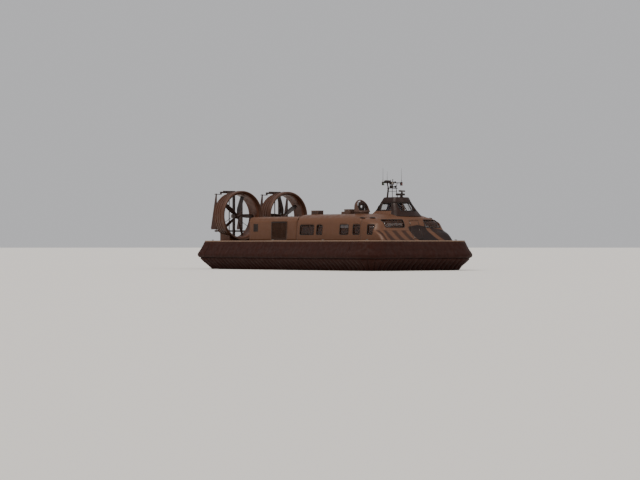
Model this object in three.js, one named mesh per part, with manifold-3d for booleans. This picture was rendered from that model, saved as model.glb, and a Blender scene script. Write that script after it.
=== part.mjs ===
// A twin-propeller passenger hovercraft, in millimetres. +X is the bow, +Y port and +Z up.
// The origin is on the ground, under the middle of the craft's length and beam.
import * as THREE from "three";
import { mergeVertices } from "three/addons/utils/BufferGeometryUtils.js";
import Module from "manifold-3d";

const wasm = await Module();
wasm.setup();

// Driving dimensions
const SEAT = 0.4; // the gap between touching solids
const RUN = 8; // the least running clearance of a moving piece
const deck = { z: 2460, rear: -10950, front: 11430, half: 5680, rearRadius: 300, frontRadius: 1600 };
const hullBottom = 900;
const hullInset = 1100; // from the deck edge in to the chine
const wall = 70;
const cabinRear = -200;
const roofSplit = 4450;
const frontSplit = 8200;
const bay = { rear: -6900, half: 3880, top: 4545 };
const duct = { y: 2600, z: 4700, front: -9300, rear: -10950, throat: 1880, lip: 2210, barrel: 2110 };
const propeller = { radius: 1825, hub: 260, blades: 5 };
const rudder = { x: -11330, offset: 1450, bottom: 3500, top: 6570, chord: 800 };
const thruster = { x: 6200, y: 2000, seatZ: 4720, half: 620, top: 5920, length: 640 };
const mouth = { z: 4870, rake: 0.56 }; // where the hood's mouth starts to lean aft, and how much
const mastX = 7720;
const radarX = 8930;

// Colours, roughness and metalness of each finish
const finish = {
  paint: new THREE.MeshStandardMaterial({ color: 0xb5aca4, roughness: 0.45, metalness: 0.1 }),
  darkPaint: new THREE.MeshStandardMaterial({ color: 0x3a2c2a, roughness: 0.5, metalness: 0.1 }),
  hull: new THREE.MeshStandardMaterial({ color: 0x56504c, roughness: 0.6, metalness: 0.3 }),
  rubber: new THREE.MeshStandardMaterial({ color: 0x2a2320, roughness: 0.85, metalness: 0 }),
  glass: new THREE.MeshStandardMaterial({ color: 0x1c2022, roughness: 0.08, metalness: 0 }),
  metal: new THREE.MeshStandardMaterial({ color: 0x6a625c, roughness: 0.5, metalness: 0.6 }),
  black: new THREE.MeshStandardMaterial({ color: 0x17181a, roughness: 0.6, metalness: 0.1 }),
  seat: new THREE.MeshStandardMaterial({ color: 0x2c3a55, roughness: 0.9, metalness: 0 }),
};

const group = new THREE.Group();

// Solids and meshes

function solidOf(geometry) {
  const bare = geometry.clone();
  bare.deleteAttribute("normal");
  bare.deleteAttribute("uv");
  const merged = mergeVertices(bare, 1e-3);
  const mesh = new wasm.Mesh({
    numProp: 3,
    vertProperties: new Float32Array(merged.attributes.position.array),
    triVerts: new Uint32Array(merged.index.array),
  });
  return new wasm.Manifold(mesh);
}

function geometryOf(solid) {
  const mesh = solid.getMesh();
  const geometry = new THREE.BufferGeometry();
  geometry.setAttribute("position", new THREE.BufferAttribute(mesh.vertProperties, 3));
  geometry.setIndex(new THREE.BufferAttribute(mesh.triVerts, 1));
  geometry.computeVertexNormals();
  return geometry;
}

function add(name, solid, material) {
  const mesh = new THREE.Mesh(geometryOf(solid), material.clone());
  mesh.name = name;
  group.add(mesh);
}

function join(solids) {
  return solids.reduce((whole, next) => whole.add(next));
}

function box(x0, x1, y0, y1, z0, z1) {
  const geometry = new THREE.BoxGeometry(x1 - x0, y1 - y0, z1 - z0);
  geometry.translate((x0 + x1) / 2, (y0 + y1) / 2, (z0 + z1) / 2);
  return solidOf(geometry);
}

// A round bar from one point to another, with a second radius where it tapers.
function bar(from, to, radius, sides = 12, endRadius = radius) {
  const start = new THREE.Vector3(...from);
  const end = new THREE.Vector3(...to);
  const along = end.clone().sub(start);
  const geometry = new THREE.CylinderGeometry(endRadius, radius, along.length(), sides);
  const turn = new THREE.Quaternion().setFromUnitVectors(
    new THREE.Vector3(0, 1, 0),
    along.clone().normalize(),
  );
  geometry.applyQuaternion(turn);
  geometry.translate(...start.add(end).multiplyScalar(0.5).toArray());
  return solidOf(geometry);
}

// A closed outline in a plane, pushed along the plane's normal. The points are [across, up].
function plate(points, thickness) {
  const shape = new THREE.Shape(points.map(([a, b]) => new THREE.Vector2(a, b)));
  return new THREE.ExtrudeGeometry(shape, { depth: thickness, bevelEnabled: false });
}

// The plan outline of a rounded rectangle, seen from above, with a bowed front edge.
function outline({ rear, front, half, rearRadius, frontRadius, bulge = 0, z, steps }) {
  const { cornerSteps, frontSteps } = steps;
  const points = [];
  const corner = (cx, cy, radius, startDegrees) => {
    for (let i = 0; i <= cornerSteps; i += 1) {
      const angle = THREE.MathUtils.degToRad(startDegrees + (90 * i) / cornerSteps);
      points.push([cx + radius * Math.cos(angle), cy + radius * Math.sin(angle)]);
    }
  };
  corner(rear + rearRadius, -half + rearRadius, rearRadius, 180);
  corner(front - frontRadius, -half + frontRadius, frontRadius, 270);
  for (let i = 1; i < frontSteps; i += 1) {
    const across = THREE.MathUtils.lerp(-half + frontRadius, half - frontRadius, i / frontSteps);
    points.push([front, across]);
  }
  corner(front - frontRadius, half - frontRadius, frontRadius, 0);
  corner(rear + rearRadius, half - rearRadius, rearRadius, 90);
  return points.map(([x, y]) => {
    const forward = THREE.MathUtils.clamp((x - front + frontRadius) / frontRadius, 0, 1);
    return [x + bulge * forward * (1 - (y / half) ** 2), y, z];
  });
}

// Joins outlines of the same count into one skin. A ring's last outline meets its first,
// and otherwise the first and last are capped.
function loft(outlines, ring = false) {
  const count = outlines[0].length;
  const positions = outlines.flat(2);
  const index = [];
  const last = ring ? outlines.length : outlines.length - 1;
  for (let level = 0; level < last; level += 1) {
    const above = (level + 1) % outlines.length;
    for (let i = 0; i < count; i += 1) {
      const next = (i + 1) % count;
      const a = level * count + i;
      const b = level * count + next;
      const c = above * count + next;
      const d = above * count + i;
      index.push(a, b, c, a, c, d);
    }
  }
  if (!ring) {
    const top = (outlines.length - 1) * count;
    for (let i = 1; i < count - 1; i += 1) {
      index.push(0, i + 1, i);
      index.push(top, top + i, top + i + 1);
    }
  }
  const geometry = new THREE.BufferGeometry();
  geometry.setAttribute("position", new THREE.Float32BufferAttribute(positions, 3));
  geometry.setIndex(index);
  return solidOf(geometry);
}

// Hull, skirt and rub rail

// The deck's outline moved outboard by a distance, or inboard where it is negative.
function deckOutline(outboard, z) {
  return outline({
    rear: deck.rear - outboard,
    front: deck.front + outboard,
    half: deck.half + outboard,
    rearRadius: Math.max(150, deck.rearRadius + outboard),
    frontRadius: deck.frontRadius + outboard,
    z,
    steps: { cornerSteps: 6, frontSteps: 1 },
  });
}

const edgeFoot = 2240; // where the hull's side starts to slope in
function hullBody(grow) {
  return loft([
    deckOutline(grow - hullInset, hullBottom - grow),
    deckOutline(grow, edgeFoot),
    deckOutline(grow, deck.z),
  ]);
}
add("hull_raft", hullBody(0), finish.hull);

const railZ = [2395, 2500];
add(
  "rub_rail",
  loft(
    [
      deckOutline(SEAT, railZ[0]),
      deckOutline(70, railZ[0]),
      deckOutline(70, railZ[1]),
      deckOutline(SEAT, railZ[1]),
    ],
    true,
  ),
  finish.paint,
);

// Outboard distance and height of the bag's section, down its outside and up inside the hull,
// which is then cut away.
const bagSection = [
  { out: -60, z: 2390 },
  { out: 90, z: 2390 },
  { out: 250, z: 2040 },
  { out: 450, z: 1700 },
  { out: 640, z: 1430 },
  { out: 700, z: 1280 },
  { out: 640, z: 1120 },
  { out: 440, z: 1010 },
  { out: 60, z: 940 },
  { out: -700, z: 905 },
  { out: -1000, z: 905 },
  { out: -900, z: 1250 },
];
// The same for the fingers, from inside the bag down to the hem and back up.
const fingerSection = [
  { out: 400, z: 1060 },
  { out: 420, z: 1004 },
  { out: 150, z: 720 },
  { out: -250, z: 420 },
  { out: -560, z: 0 },
  { out: -690, z: 0 },
  { out: -640, z: 960 },
];
// Runs the section backwards, because its outside starts at the top and the faces turn out.
function sweep(section, drop = 0) {
  return loft(section.map(({ out, z }) => deckOutline(out, z - drop)).reverse(), true);
}
const bagRing = sweep(bagSection).subtract(hullBody(SEAT));
const fingerRing = sweep(fingerSection).subtract(sweep(bagSection, SEAT));

const far = 20000; // past every side of the craft
const sternCut = -9900;
const bowCut = 9300;
const skirtParts = [
  { name: "bow", x0: bowCut, x1: far, y0: -far, y1: far },
  { name: "stern", x0: -far, x1: sternCut, y0: -far, y1: far },
  { name: "port", x0: sternCut + SEAT, x1: bowCut - SEAT, y0: 0, y1: far },
  { name: "starboard", x0: sternCut + SEAT, x1: bowCut - SEAT, y0: -far, y1: 0 },
];
for (const { name, x0, x1, y0, y1 } of skirtParts) {
  const part = box(x0, x1, y0, y1, -far, far);
  add(`skirt_bag_${name}`, bagRing.intersect(part), finish.rubber);
  add(`skirt_fingers_${name}`, fingerRing.intersect(part), finish.rubber);
}

// Landing skids: a rail under the raft on each side, with pads that reach the ground
const sides = [
  { name: "port", side: 1 },
  { name: "starboard", side: -1 },
];
const skid = { y: 3000, half: 150, z0: 760, rear: -8400, front: 8400 };
const padPlaces = [-7600, 0, 7600];
const padSize = { top: 330, foot: 420 };
for (const { name, side } of sides) {
  const y = side * skid.y;
  const rail = box(skid.rear, skid.front, y - skid.half, y + skid.half, skid.z0, hullBottom - SEAT);
  const pads = padPlaces.map((x) => {
    const foot = new THREE.CylinderGeometry(padSize.top, padSize.foot, skid.z0 + 20, 8);
    foot.rotateX(Math.PI / 2);
    foot.rotateZ(Math.PI / 8);
    foot.translate(x, y, (skid.z0 + 20) / 2);
    return solidOf(foot);
  });
  add(`landing_skid_${name}`, join([rail, ...pads]), finish.metal);
}

// Passenger cabin

// The cabin's outside at each height: half width, front corner, corner radius and nose bulge.
const cabinLevels = [
  { z: 2460, half: 3950, front: 11200, radius: 450, bulge: 0 },
  { z: 3040, half: 3930, front: 10760, radius: 650, bulge: 120 },
  { z: 3370, half: 3900, front: 10240, radius: 800, bulge: 410 },
  { z: 3920, half: 3850, front: 10040, radius: 1150, bulge: 460 },
  { z: 4090, half: 3820, front: 9810, radius: 1350, bulge: 590 },
  { z: 4290, half: 3740, front: 9440, radius: 1650, bulge: 890 },
  { z: 4450, half: 3600, front: 8660, radius: 1950, bulge: 1540 },
  { z: 4630, half: 3250, front: 7800, radius: 1900, bulge: 2100 },
  { z: 4720, half: 2700, front: 7200, radius: 1500, bulge: 2300 },
];

// The whole cabin as one solid, moved in by a distance, or out where it is negative.
function cabinBody(inset, footZ = deck.z + SEAT) {
  return loft(
    cabinLevels.map(({ z, half, front, radius, bulge }, i) =>
      outline({
        rear: cabinRear + inset,
        front: front - inset,
        half: half - inset,
        rearRadius: 60,
        frontRadius: radius,
        bulge,
        z: i === 0 ? footZ : z - inset,
        steps: { cornerSteps: 5, frontSteps: 6 },
      }),
    ),
  );
}

const belowDeck = deck.z - 100;
const openRear = box(cabinRear - 10, cabinRear + wall + 20, -3500, 3500, belowDeck, roofSplit);
const cabinShell = cabinBody(0).subtract(cabinBody(wall, belowDeck)).subtract(openRear);
const glassThickness = 14;
const glassSkin = cabinBody(wall + SEAT, belowDeck).subtract(
  cabinBody(wall + SEAT + glassThickness, belowDeck - 100),
);

// Side windows: both ends of each along the craft, and the height that they share.
// The foremost one is in the front panel.
const sideWindows = [
  { x0: 7200, x1: 8080 },
  { x0: 5520, x1: 6630 },
  { x0: 2490, x1: 3230 },
  { x0: 280, x1: 2100 },
];
const sideWindow = { z0: 2980, z1: 3800 };
const foremostWindow = { x0: 9030, x1: 9700 };
const frontWindow = { inner: 1120, outer: 3050, z0: 3570, z1: 4220 };
const bowDoor = { half: 520, z0: 2610, z1: 4160, gap: RUN };

const windowHoles = sideWindows.map(({ x0, x1 }) =>
  box(x0, x1, -far, far, sideWindow.z0, sideWindow.z1),
);
const walls = cabinShell.subtract(join(windowHoles));
for (const { name, side } of sides) {
  const y0 = side > 0 ? 100 : -far;
  const y1 = side > 0 ? far : -100;
  const region = box(cabinRear, frontSplit, y0, y1, 0, roofSplit);
  add(`cabin_side_${name}`, walls.intersect(region), finish.paint);
  const strip = box(80, frontSplit, y0, y1, sideWindow.z0 - 60, sideWindow.z1 + 60);
  add(`side_glazing_${name}`, glassSkin.intersect(strip), finish.glass);
}
// The door's hinge line leans back with the nose, just ahead of its skin. The door's upper and
// lower edges are cut square to that line, so it swings without rising into the panel.
const hinge = { x: 11190, y: -524, z: 2530, lean: -0.483, radius: 22, arm: 70, knuckle: 50 };
function hingePoint(z) {
  return [hinge.x + hinge.lean * (z - hinge.z), hinge.y, z];
}
function doorBlock(gap) {
  const [x0, , z0] = hingePoint(bowDoor.z0);
  const [x1, , z1] = hingePoint(bowDoor.z1);
  const depth = 900;
  const length = Math.hypot(x1 - x0, z1 - z0) + 2 * gap;
  const block = new THREE.BoxGeometry(depth, 2 * (bowDoor.half + gap), length);
  block.rotateY(Math.atan(hinge.lean));
  block.translate((x0 + x1) / 2, 0, (z0 + z1) / 2);
  return solidOf(block);
}
const doorHole = doorBlock(bowDoor.gap);
const doorRegion = doorBlock(0);
const frontRegion = box(frontSplit + SEAT, far, -far, far, 0, roofSplit);
const frontWindowRegions = sides.map(({ side }) => {
  const inner = side * frontWindow.inner;
  const outer = side * frontWindow.outer;
  return { y0: Math.min(inner, outer), y1: Math.max(inner, outer) };
});
const frontWindowHoles = frontWindowRegions.map(({ y0, y1 }) =>
  box(9000, far, y0, y1, frontWindow.z0, frontWindow.z1),
);
frontWindowHoles.push(
  box(foremostWindow.x0, foremostWindow.x1, -far, far, sideWindow.z0, sideWindow.z1),
);
const frontWall = cabinShell.intersect(frontRegion).subtract(join(frontWindowHoles));

// Each hinge is a fixed knuckle below a moving one, with an arm to the front panel or the door.
function knuckle(z, reach) {
  const [x, y] = hingePoint(z + hinge.knuckle / 2);
  return bar(hingePoint(z + SEAT), hingePoint(z + hinge.knuckle), hinge.radius).add(
    bar([x, y, z + hinge.knuckle / 2], [x - hinge.arm, y + reach, z + hinge.knuckle / 2], 12, 8),
  );
}
const hingeHeights = [2680, 3880];
const fixedKnuckles = hingeHeights.map((z) => knuckle(z, -45));
const doorKnuckles = hingeHeights.map((z) => knuckle(z + hinge.knuckle, 45));
add("cabin_front", join([frontWall.subtract(doorHole), ...fixedKnuckles]), finish.paint);
add("bow_door", join([cabinShell.intersect(doorRegion), ...doorKnuckles]), finish.darkPaint);
for (const { name, side } of sides) {
  const inner = side * (frontWindow.inner - 60);
  const y0 = side > 0 ? inner : -far;
  const y1 = side > 0 ? far : inner;
  const region = box(frontSplit + 60, far, y0, y1, sideWindow.z0 - 60, frontWindow.z1 + 60);
  add(`front_glazing_${name}`, glassSkin.intersect(region), finish.glass);
}

// Roof of the cabin, with the hatch up to the control cabin
const hatch = { x0: 8000, x1: 8900, half: 350 };
const hatchHole = box(hatch.x0, hatch.x1, -hatch.half, hatch.half, 4000, far);
add(
  "cabin_roof",
  cabinShell.intersect(box(-far, far, -far, far, roofSplit + SEAT, far)).subtract(hatchHole),
  finish.paint,
);

// Passenger seats: three banks of rows, each on a plinth along the floor
const seatRow = { pitch: 900, first: 350, rows: 9, depth: 450, z: 2900, backZ: 3600 };
const seatBanks = [
  { name: "port", y: 2750, half: 750 },
  { name: "middle", y: 0, half: 950 },
  { name: "starboard", y: -2750, half: 750 },
];
const lastRowX = seatRow.first + seatRow.pitch * (seatRow.rows - 1);
for (const { name, y, half } of seatBanks) {
  const end = lastRowX + seatRow.depth;
  const pieces = [box(seatRow.first, end, y - 90, y + 90, deck.z + SEAT, seatRow.z - 90)];
  for (let row = 0; row < seatRow.rows; row += 1) {
    const x = seatRow.first + seatRow.pitch * row;
    pieces.push(box(x, x + seatRow.depth, y - half, y + half, seatRow.z - 110, seatRow.z));
    pieces.push(box(x, x + 110, y - half, y + half, seatRow.z - 60, seatRow.backZ));
  }
  add(`passenger_seats_${name}`, join(pieces), finish.seat);
}

// Engine bay behind the cabin, with an engine on each side
const bayGrille = { x0: -3700, x1: -1600, z0: 2560, z1: 4120 };
const bayFront = cabinRear - SEAT;
function bayBody(inset, footZ) {
  const at = (z, half) =>
    outline({
      rear: bay.rear + inset,
      front: bayFront,
      half: half - inset,
      rearRadius: 200,
      frontRadius: 60,
      z,
      steps: { cornerSteps: 3, frontSteps: 1 },
    });
  return loft([
    at(footZ, bay.half),
    at(4150 - inset, bay.half - 60),
    at(4400 - inset, bay.half - 160),
    at(bay.top - inset, bay.half - 420),
  ]);
}
const bayInside = bayBody(wall, belowDeck).intersect(box(-far, bayFront - wall, -far, far, 0, far));
const bayShell = bayBody(0, deck.z + SEAT).subtract(bayInside);
const grilleHole = box(bayGrille.x0, bayGrille.x1, -far, far, bayGrille.z0, bayGrille.z1);
const bayRoofZ = 4300;
const bayWalls = bayShell.subtract(grilleHole);
add(
  "engine_bay_walls",
  bayWalls.intersect(box(-far, far, -far, far, 0, bayRoofZ)),
  finish.paint,
);
add(
  "engine_bay_roof",
  bayShell.intersect(box(-far, far, -far, far, bayRoofZ + SEAT, far)),
  finish.paint,
);

// A louvred panel in the bay's side: a frame with sloped slats
function louvre({ x0, x1, z0, z1 }, side, slats) {
  const outer = side * (bay.half - 6);
  const inner = side * (bay.half - 76);
  const y0 = Math.min(outer, inner);
  const y1 = Math.max(outer, inner);
  const rim = 70;
  const frame = box(x0 + SEAT, x1 - SEAT, y0, y1, z0 + SEAT, z1 - SEAT).subtract(
    box(x0 + rim, x1 - rim, y0 - 50, y1 + 50, z0 + rim, z1 - rim),
  );
  const pieces = [frame];
  const step = (z1 - z0 - 2 * rim) / slats;
  for (let i = 0; i < slats; i += 1) {
    const z = z0 + rim + step * (i + 0.5);
    const slat = new THREE.BoxGeometry(x1 - x0 - rim, 60, 14);
    slat.rotateX(side * 0.6);
    slat.translate((x0 + x1) / 2, (y0 + y1) / 2, z);
    pieces.push(solidOf(slat));
  }
  return join(pieces);
}
for (const { name, side } of sides) {
  const trim = bayBody(-2, 1000);
  add(`bay_grille_${name}`, louvre(bayGrille, side, 9).intersect(trim), finish.black);
  const y = side * 2350;
  add(
    `engine_block_${name}`,
    box(-5900, -3900, y - 550, y + 550, deck.z + SEAT, 3700),
    finish.metal,
  );
}

// Boxes on the roofs
const roofBoxes = [
  { name: "roof_vent", x0: 150, x1: 1050, y: 2250, half: 330, z1: 5060 },
  { name: "roof_locker", x0: 4150, x1: 4950, y: 1950, half: 320, z1: 5130 },
];
const roofGap = cabinBody(-SEAT);
for (const { name, side } of sides) {
  for (const { name: piece, x0, x1, y, half, z1 } of roofBoxes) {
    const middle = side * y;
    const whole = box(x0, x1, middle - half, middle + half, 4500, z1);
    add(`${piece}_${name}`, whole.subtract(roofGap), finish.paint);
  }
}

// Bow thrusters: a round seat on the roof and a hooded nozzle that turns on it

// The front view of the hood: straight sides with a round head.
function hoodOutline(half, foot, top) {
  const points = [[-half, foot]];
  const shoulder = top - half * 1.05;
  for (let i = 0; i <= 12; i += 1) {
    const angle = Math.PI - (Math.PI * i) / 12;
    points.push([half * Math.cos(angle), shoulder + (top - shoulder) * Math.sin(angle)]);
  }
  points.push([half, foot]);
  return points;
}

// Turns a plate drawn as [across, up] so that across is +Y, up is +Z and its depth is +X.
function faceForward(geometry) {
  geometry.rotateX(Math.PI / 2);
  geometry.rotateZ(Math.PI / 2);
  return geometry;
}

// The hood from the side, as distance ahead of its middle and height.
const hoodReach = thruster.length / 2;
const hoodPeak = thruster.top + 20;
const hoodSide = [
  [-hoodReach, thruster.seatZ],
  [hoodReach, thruster.seatZ],
  [hoodReach, mouth.z],
  [hoodReach - mouth.rake * (hoodPeak - mouth.z), hoodPeak],
  [-hoodReach, hoodPeak],
];

for (const { name, side } of sides) {
  const y = side * thruster.y;
  const seat = new THREE.CylinderGeometry(560, 600, 420, 24);
  seat.rotateX(Math.PI / 2);
  seat.translate(thruster.x, y, thruster.seatZ - 120);
  add(`thruster_seat_${name}`, solidOf(seat).subtract(roofGap), finish.paint);

  const foot = thruster.seatZ + 90 + SEAT;
  const ring = new THREE.CylinderGeometry(600, 560, 110, 24);
  ring.rotateX(Math.PI / 2);
  ring.translate(thruster.x, y, foot + 55);
  const hood = faceForward(plate(hoodOutline(thruster.half, foot + 50, thruster.top), thruster.length));
  hood.translate(thruster.x - thruster.length / 2, y, 0);
  const bore = faceForward(plate(hoodOutline(thruster.half - 90, foot + 200, thruster.top - 90), 2000));
  bore.translate(thruster.x - 1000, y, 0);
  const shell = solidOf(hood).subtract(solidOf(bore));
  const raked = plate(hoodSide, 2 * thruster.half + 20);
  raked.rotateX(Math.PI / 2);
  raked.translate(thruster.x, y + thruster.half + 10, 0);
  const vanes = [0.33, 0.62].map((share) => {
    const z = foot + 200 + (thruster.top - foot - 290) * share;
    return box(thruster.x - 200, thruster.x + 200, y - 560, y + 560, z - 12, z + 12);
  });
  const nozzle = join([shell, ...vanes]).intersect(solidOf(raked));
  add(`thruster_nozzle_${name}`, nozzle.add(solidOf(ring)), finish.paint);
}

// Control cabin: a truncated pyramid on the roof
const controlLevels = [
  { z: 4300, rear: 6420, front: 9950, half: 1640, bulge: 420 },
  { z: 4720, rear: 6740, front: 9690, half: 1420, bulge: 365 },
  { z: 5000, rear: 7000, front: 9510, half: 1265, bulge: 330 },
  { z: 5620, rear: 7330, front: 9110, half: 1030, bulge: 240 },
  { z: 6020, rear: 7540, front: 9000, half: 880, bulge: 200 },
  { z: 6100, rear: 7620, front: 8920, half: 800, bulge: 180 },
];
const controlTop = 6100;
function controlBody(inset, footZ) {
  return loft(
    controlLevels.map(({ z, rear, front, half, bulge }, i) =>
      outline({
        rear: rear + inset,
        front: front - inset,
        half: half - inset,
        rearRadius: 120,
        frontRadius: 260,
        bulge,
        z: i === 0 ? footZ : z - inset,
        steps: { cornerSteps: 3, frontSteps: 4 },
      }),
    ),
  );
}
const controlWall = 55;
const controlRoofZ = 5650;
const controlShell = controlBody(0, 4300).subtract(controlBody(controlWall, 4200));
const controlWindow = { z0: 4980, z1: 5600 };
const sideLights = [
  { x0: 7230, x1: 7500 },
  { x0: 7680, x1: 8880 },
];
const screens = [
  { y0: -850, y1: -330 },
  { y0: -270, y1: 270 },
  { y0: 330, y1: 850 },
];
const controlHoles = [
  ...sideLights.map(({ x0, x1 }) => box(x0, x1, -far, far, controlWindow.z0, controlWindow.z1)),
  ...screens.map(({ y0, y1 }) => box(8000, far, y0, y1, controlWindow.z0 - 60, controlWindow.z1)),
  box(0, 7600, -700, -60, controlWindow.z0 + 60, controlWindow.z1 - 60),
  box(0, 7600, 60, 700, controlWindow.z0 + 60, controlWindow.z1 - 60),
];
const controlWalls = controlShell.subtract(join(controlHoles)).subtract(roofGap);
add(
  "control_cabin_walls",
  controlWalls.intersect(box(-far, far, -far, far, 0, controlRoofZ)),
  finish.paint,
);
add(
  "control_cabin_roof",
  controlShell.intersect(box(-far, far, -far, far, controlRoofZ + SEAT, far)),
  finish.darkPaint,
);
const controlGlassSkin = controlBody(controlWall + SEAT, 4200).subtract(
  controlBody(controlWall + SEAT + 12, 4100),
);
add(
  "control_cabin_glass",
  controlGlassSkin.intersect(box(-far, far, -far, far, controlWindow.z0 - 110, controlWindow.z1 + 40)),
  finish.glass,
);

// Inside the control cabin: two seats and the console
const crew = { x: 8050, y: 560, floor: 4720 + SEAT, z: 5020 };
const crewSeats = sides.flatMap(({ side }) => {
  const y = side * crew.y;
  return [
    box(crew.x + 120, crew.x + 320, y - 90, y + 90, crew.floor, crew.z - 60),
    box(crew.x, crew.x + 470, y - 230, y + 230, crew.z - 80, crew.z),
    box(crew.x - 110, crew.x + 10, y - 220, y + 220, crew.z - 40, crew.z + 560),
  ];
});
const crewRail = box(crew.x - 300, crew.x - 240, -700, 700, crew.floor, crew.floor + 30);
const crewRunners = sides.map(({ side }) => {
  const y = side * crew.y;
  return box(crew.x - 300, crew.x + 320, y - 40, y + 40, crew.floor, crew.floor + 30);
});
add("crew_seats", join([...crewSeats, crewRail, ...crewRunners]), finish.seat);
add(
  "control_console",
  box(8930, 9180, -880, 880, 4500, 4930).subtract(roofGap),
  finish.black,
);

// Mast, antennas and radar on the control cabin's roof
const mast = { foot: controlTop + SEAT, platform: 6870, bar: 7330 };
const mastLegs = [
  { place: -1, radius: 46 },
  { place: 0, radius: 24 },
  { place: 1, radius: 24 },
].map(({ place, radius }) =>
  bar([mastX + 20, place * 560, mast.foot - 20], [mastX, place * 430, mast.platform], radius, 8),
);
const mastRisers = [-1, 0, 1].map((place) =>
  bar([mastX, place * 430, mast.platform - 20], [mastX, place * 560, mast.bar], 24, 8),
);
const masthead = [
  box(mastX - 100, mastX + 120, -510, 510, mast.platform - 30, mast.platform + 30),
  bar([mastX, -1030, mast.bar], [mastX, 1030, mast.bar], 26, 8),
  box(mastX - 70, mastX + 70, -1100, -940, 7130, 7370),
  box(mastX - 70, mastX + 70, 940, 1100, 7130, 7370),
  box(mastX - 100, mastX + 100, -260, 120, 7150, 7440),
  bar([mastX, 60, 7400], [mastX, 60, 7620], 20, 8),
  bar([mastX, -180, 7400], [mastX, -180, 7560], 20, 8),
];
const whips = [
  { y: -1030, z1: 8560 },
  { y: -560, z1: 8250 },
  { y: 1030, z1: 8560 },
].map(({ y, z1 }) => bar([mastX, y, mast.bar], [mastX, y, z1], 16, 8, 9));
const mastSeat = box(-far, far, -far, far, mast.foot, far);
add(
  "mast_frame",
  join([...mastLegs, ...mastRisers, ...masthead, ...whips]).intersect(mastSeat),
  finish.black,
);

const radar = { foot: controlTop + SEAT, plateZ: 6330, neck: 6500, length: 1300, heading: 117 };
add(
  "radar_pedestal",
  join([
    bar([radarX - 50, 0, radar.foot], [radarX - 50, 0, radar.plateZ], 110, 12),
    box(radarX - 470, radarX + 90, -300, 300, radar.plateZ - 90, radar.plateZ + 90),
    bar([radarX, 0, radar.plateZ], [radarX, 0, radar.neck], 90, 16, 80),
  ]),
  finish.black,
);
const scanner = new THREE.BoxGeometry(radar.length, 120, 140);
scanner.rotateZ(THREE.MathUtils.degToRad(radar.heading));
scanner.translate(radarX, 0, radar.neck + 110);
const scannerHub = bar([radarX, 0, radar.neck + SEAT], [radarX, 0, radar.neck + 90], 75, 16);
add("radar_scanner", join([solidOf(scanner), scannerHub]), finish.black);

// Ducts, propellers and rudders

// The duct's section: distance along the craft and radius, closed on itself.
const ductSection = [
  { x: duct.front, r: duct.lip - 60 },
  { x: duct.front - 90, r: duct.lip },
  { x: duct.front - 380, r: duct.lip - 10 },
  { x: duct.rear, r: duct.barrel - 100 },
  { x: duct.rear, r: duct.throat + 40 },
  { x: duct.front - 420, r: duct.throat },
  { x: duct.front - 130, r: duct.throat + 90 },
  { x: duct.front - 20, r: duct.throat + 200 },
];

function lathe(section, segments, y) {
  const points = section.map(({ x, r }) => new THREE.Vector2(r, x));
  const geometry = new THREE.LatheGeometry([...points, points[0]], segments);
  geometry.rotateZ(-Math.PI / 2);
  geometry.translate(0, y, duct.z);
  return geometry;
}

function outwards(geometry) {
  const solid = solidOf(geometry);
  if (solid.volume() > 0) {
    return solid;
  }
  const turned = geometry.clone();
  const order = turned.index.array;
  for (let i = 0; i < order.length; i += 3) {
    [order[i + 1], order[i + 2]] = [order[i + 2], order[i + 1]];
  }
  return solidOf(turned);
}

const post = { front: -10480, rear: -10860, half: 75 };
const pod = { front: -10330, rear: -10940, radius: 230 };
for (const { name, side } of sides) {
  const y = side * duct.y;
  const ring = outwards(lathe(ductSection, 32, y));
  const column = box(post.rear, post.front, y - post.half, y + post.half, 2740, 6640);
  const barrel = bar([pod.front, y, duct.z], [pod.rear, y, duct.z], pod.radius, 20, 150);
  const saddle = box(-10850, -9480, y - 1350, y + 1350, deck.z + SEAT, 3150);
  const around = new THREE.CylinderGeometry(duct.throat + 60, duct.throat + 60, 6000, 40);
  around.rotateZ(Math.PI / 2);
  around.translate(-10000, y, duct.z);
  const foot = saddle.subtract(solidOf(around));
  add(`duct_${name}`, join([ring, column, barrel, foot]), finish.paint);
}

// One blade, from the hub out along +Z, twisted from root to tip.
function blade() {
  const stations = [
    { r: 180, chord: 330, twist: 52, thick: 90 },
    { r: 700, chord: 400, twist: 36, thick: 60 },
    { r: 1300, chord: 380, twist: 25, thick: 42 },
    { r: propeller.radius - 40, chord: 330, twist: 20, thick: 30 },
    { r: propeller.radius, chord: 220, twist: 20, thick: 20 },
  ];
  return stations.map(({ r, chord, twist, thick }) => {
    const angle = THREE.MathUtils.degToRad(twist);
    const shape = [
      [-0.5, 0],
      [-0.25, -0.5],
      [0.2, -0.4],
      [0.5, 0],
      [0.2, 0.4],
      [-0.25, 0.5],
    ];
    return shape.map(([c, t]) => {
      const along = c * chord;
      const across = t * thick;
      return [
        along * Math.sin(angle) + across * Math.cos(angle),
        along * Math.cos(angle) - across * Math.sin(angle),
        r,
      ];
    });
  });
}

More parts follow.
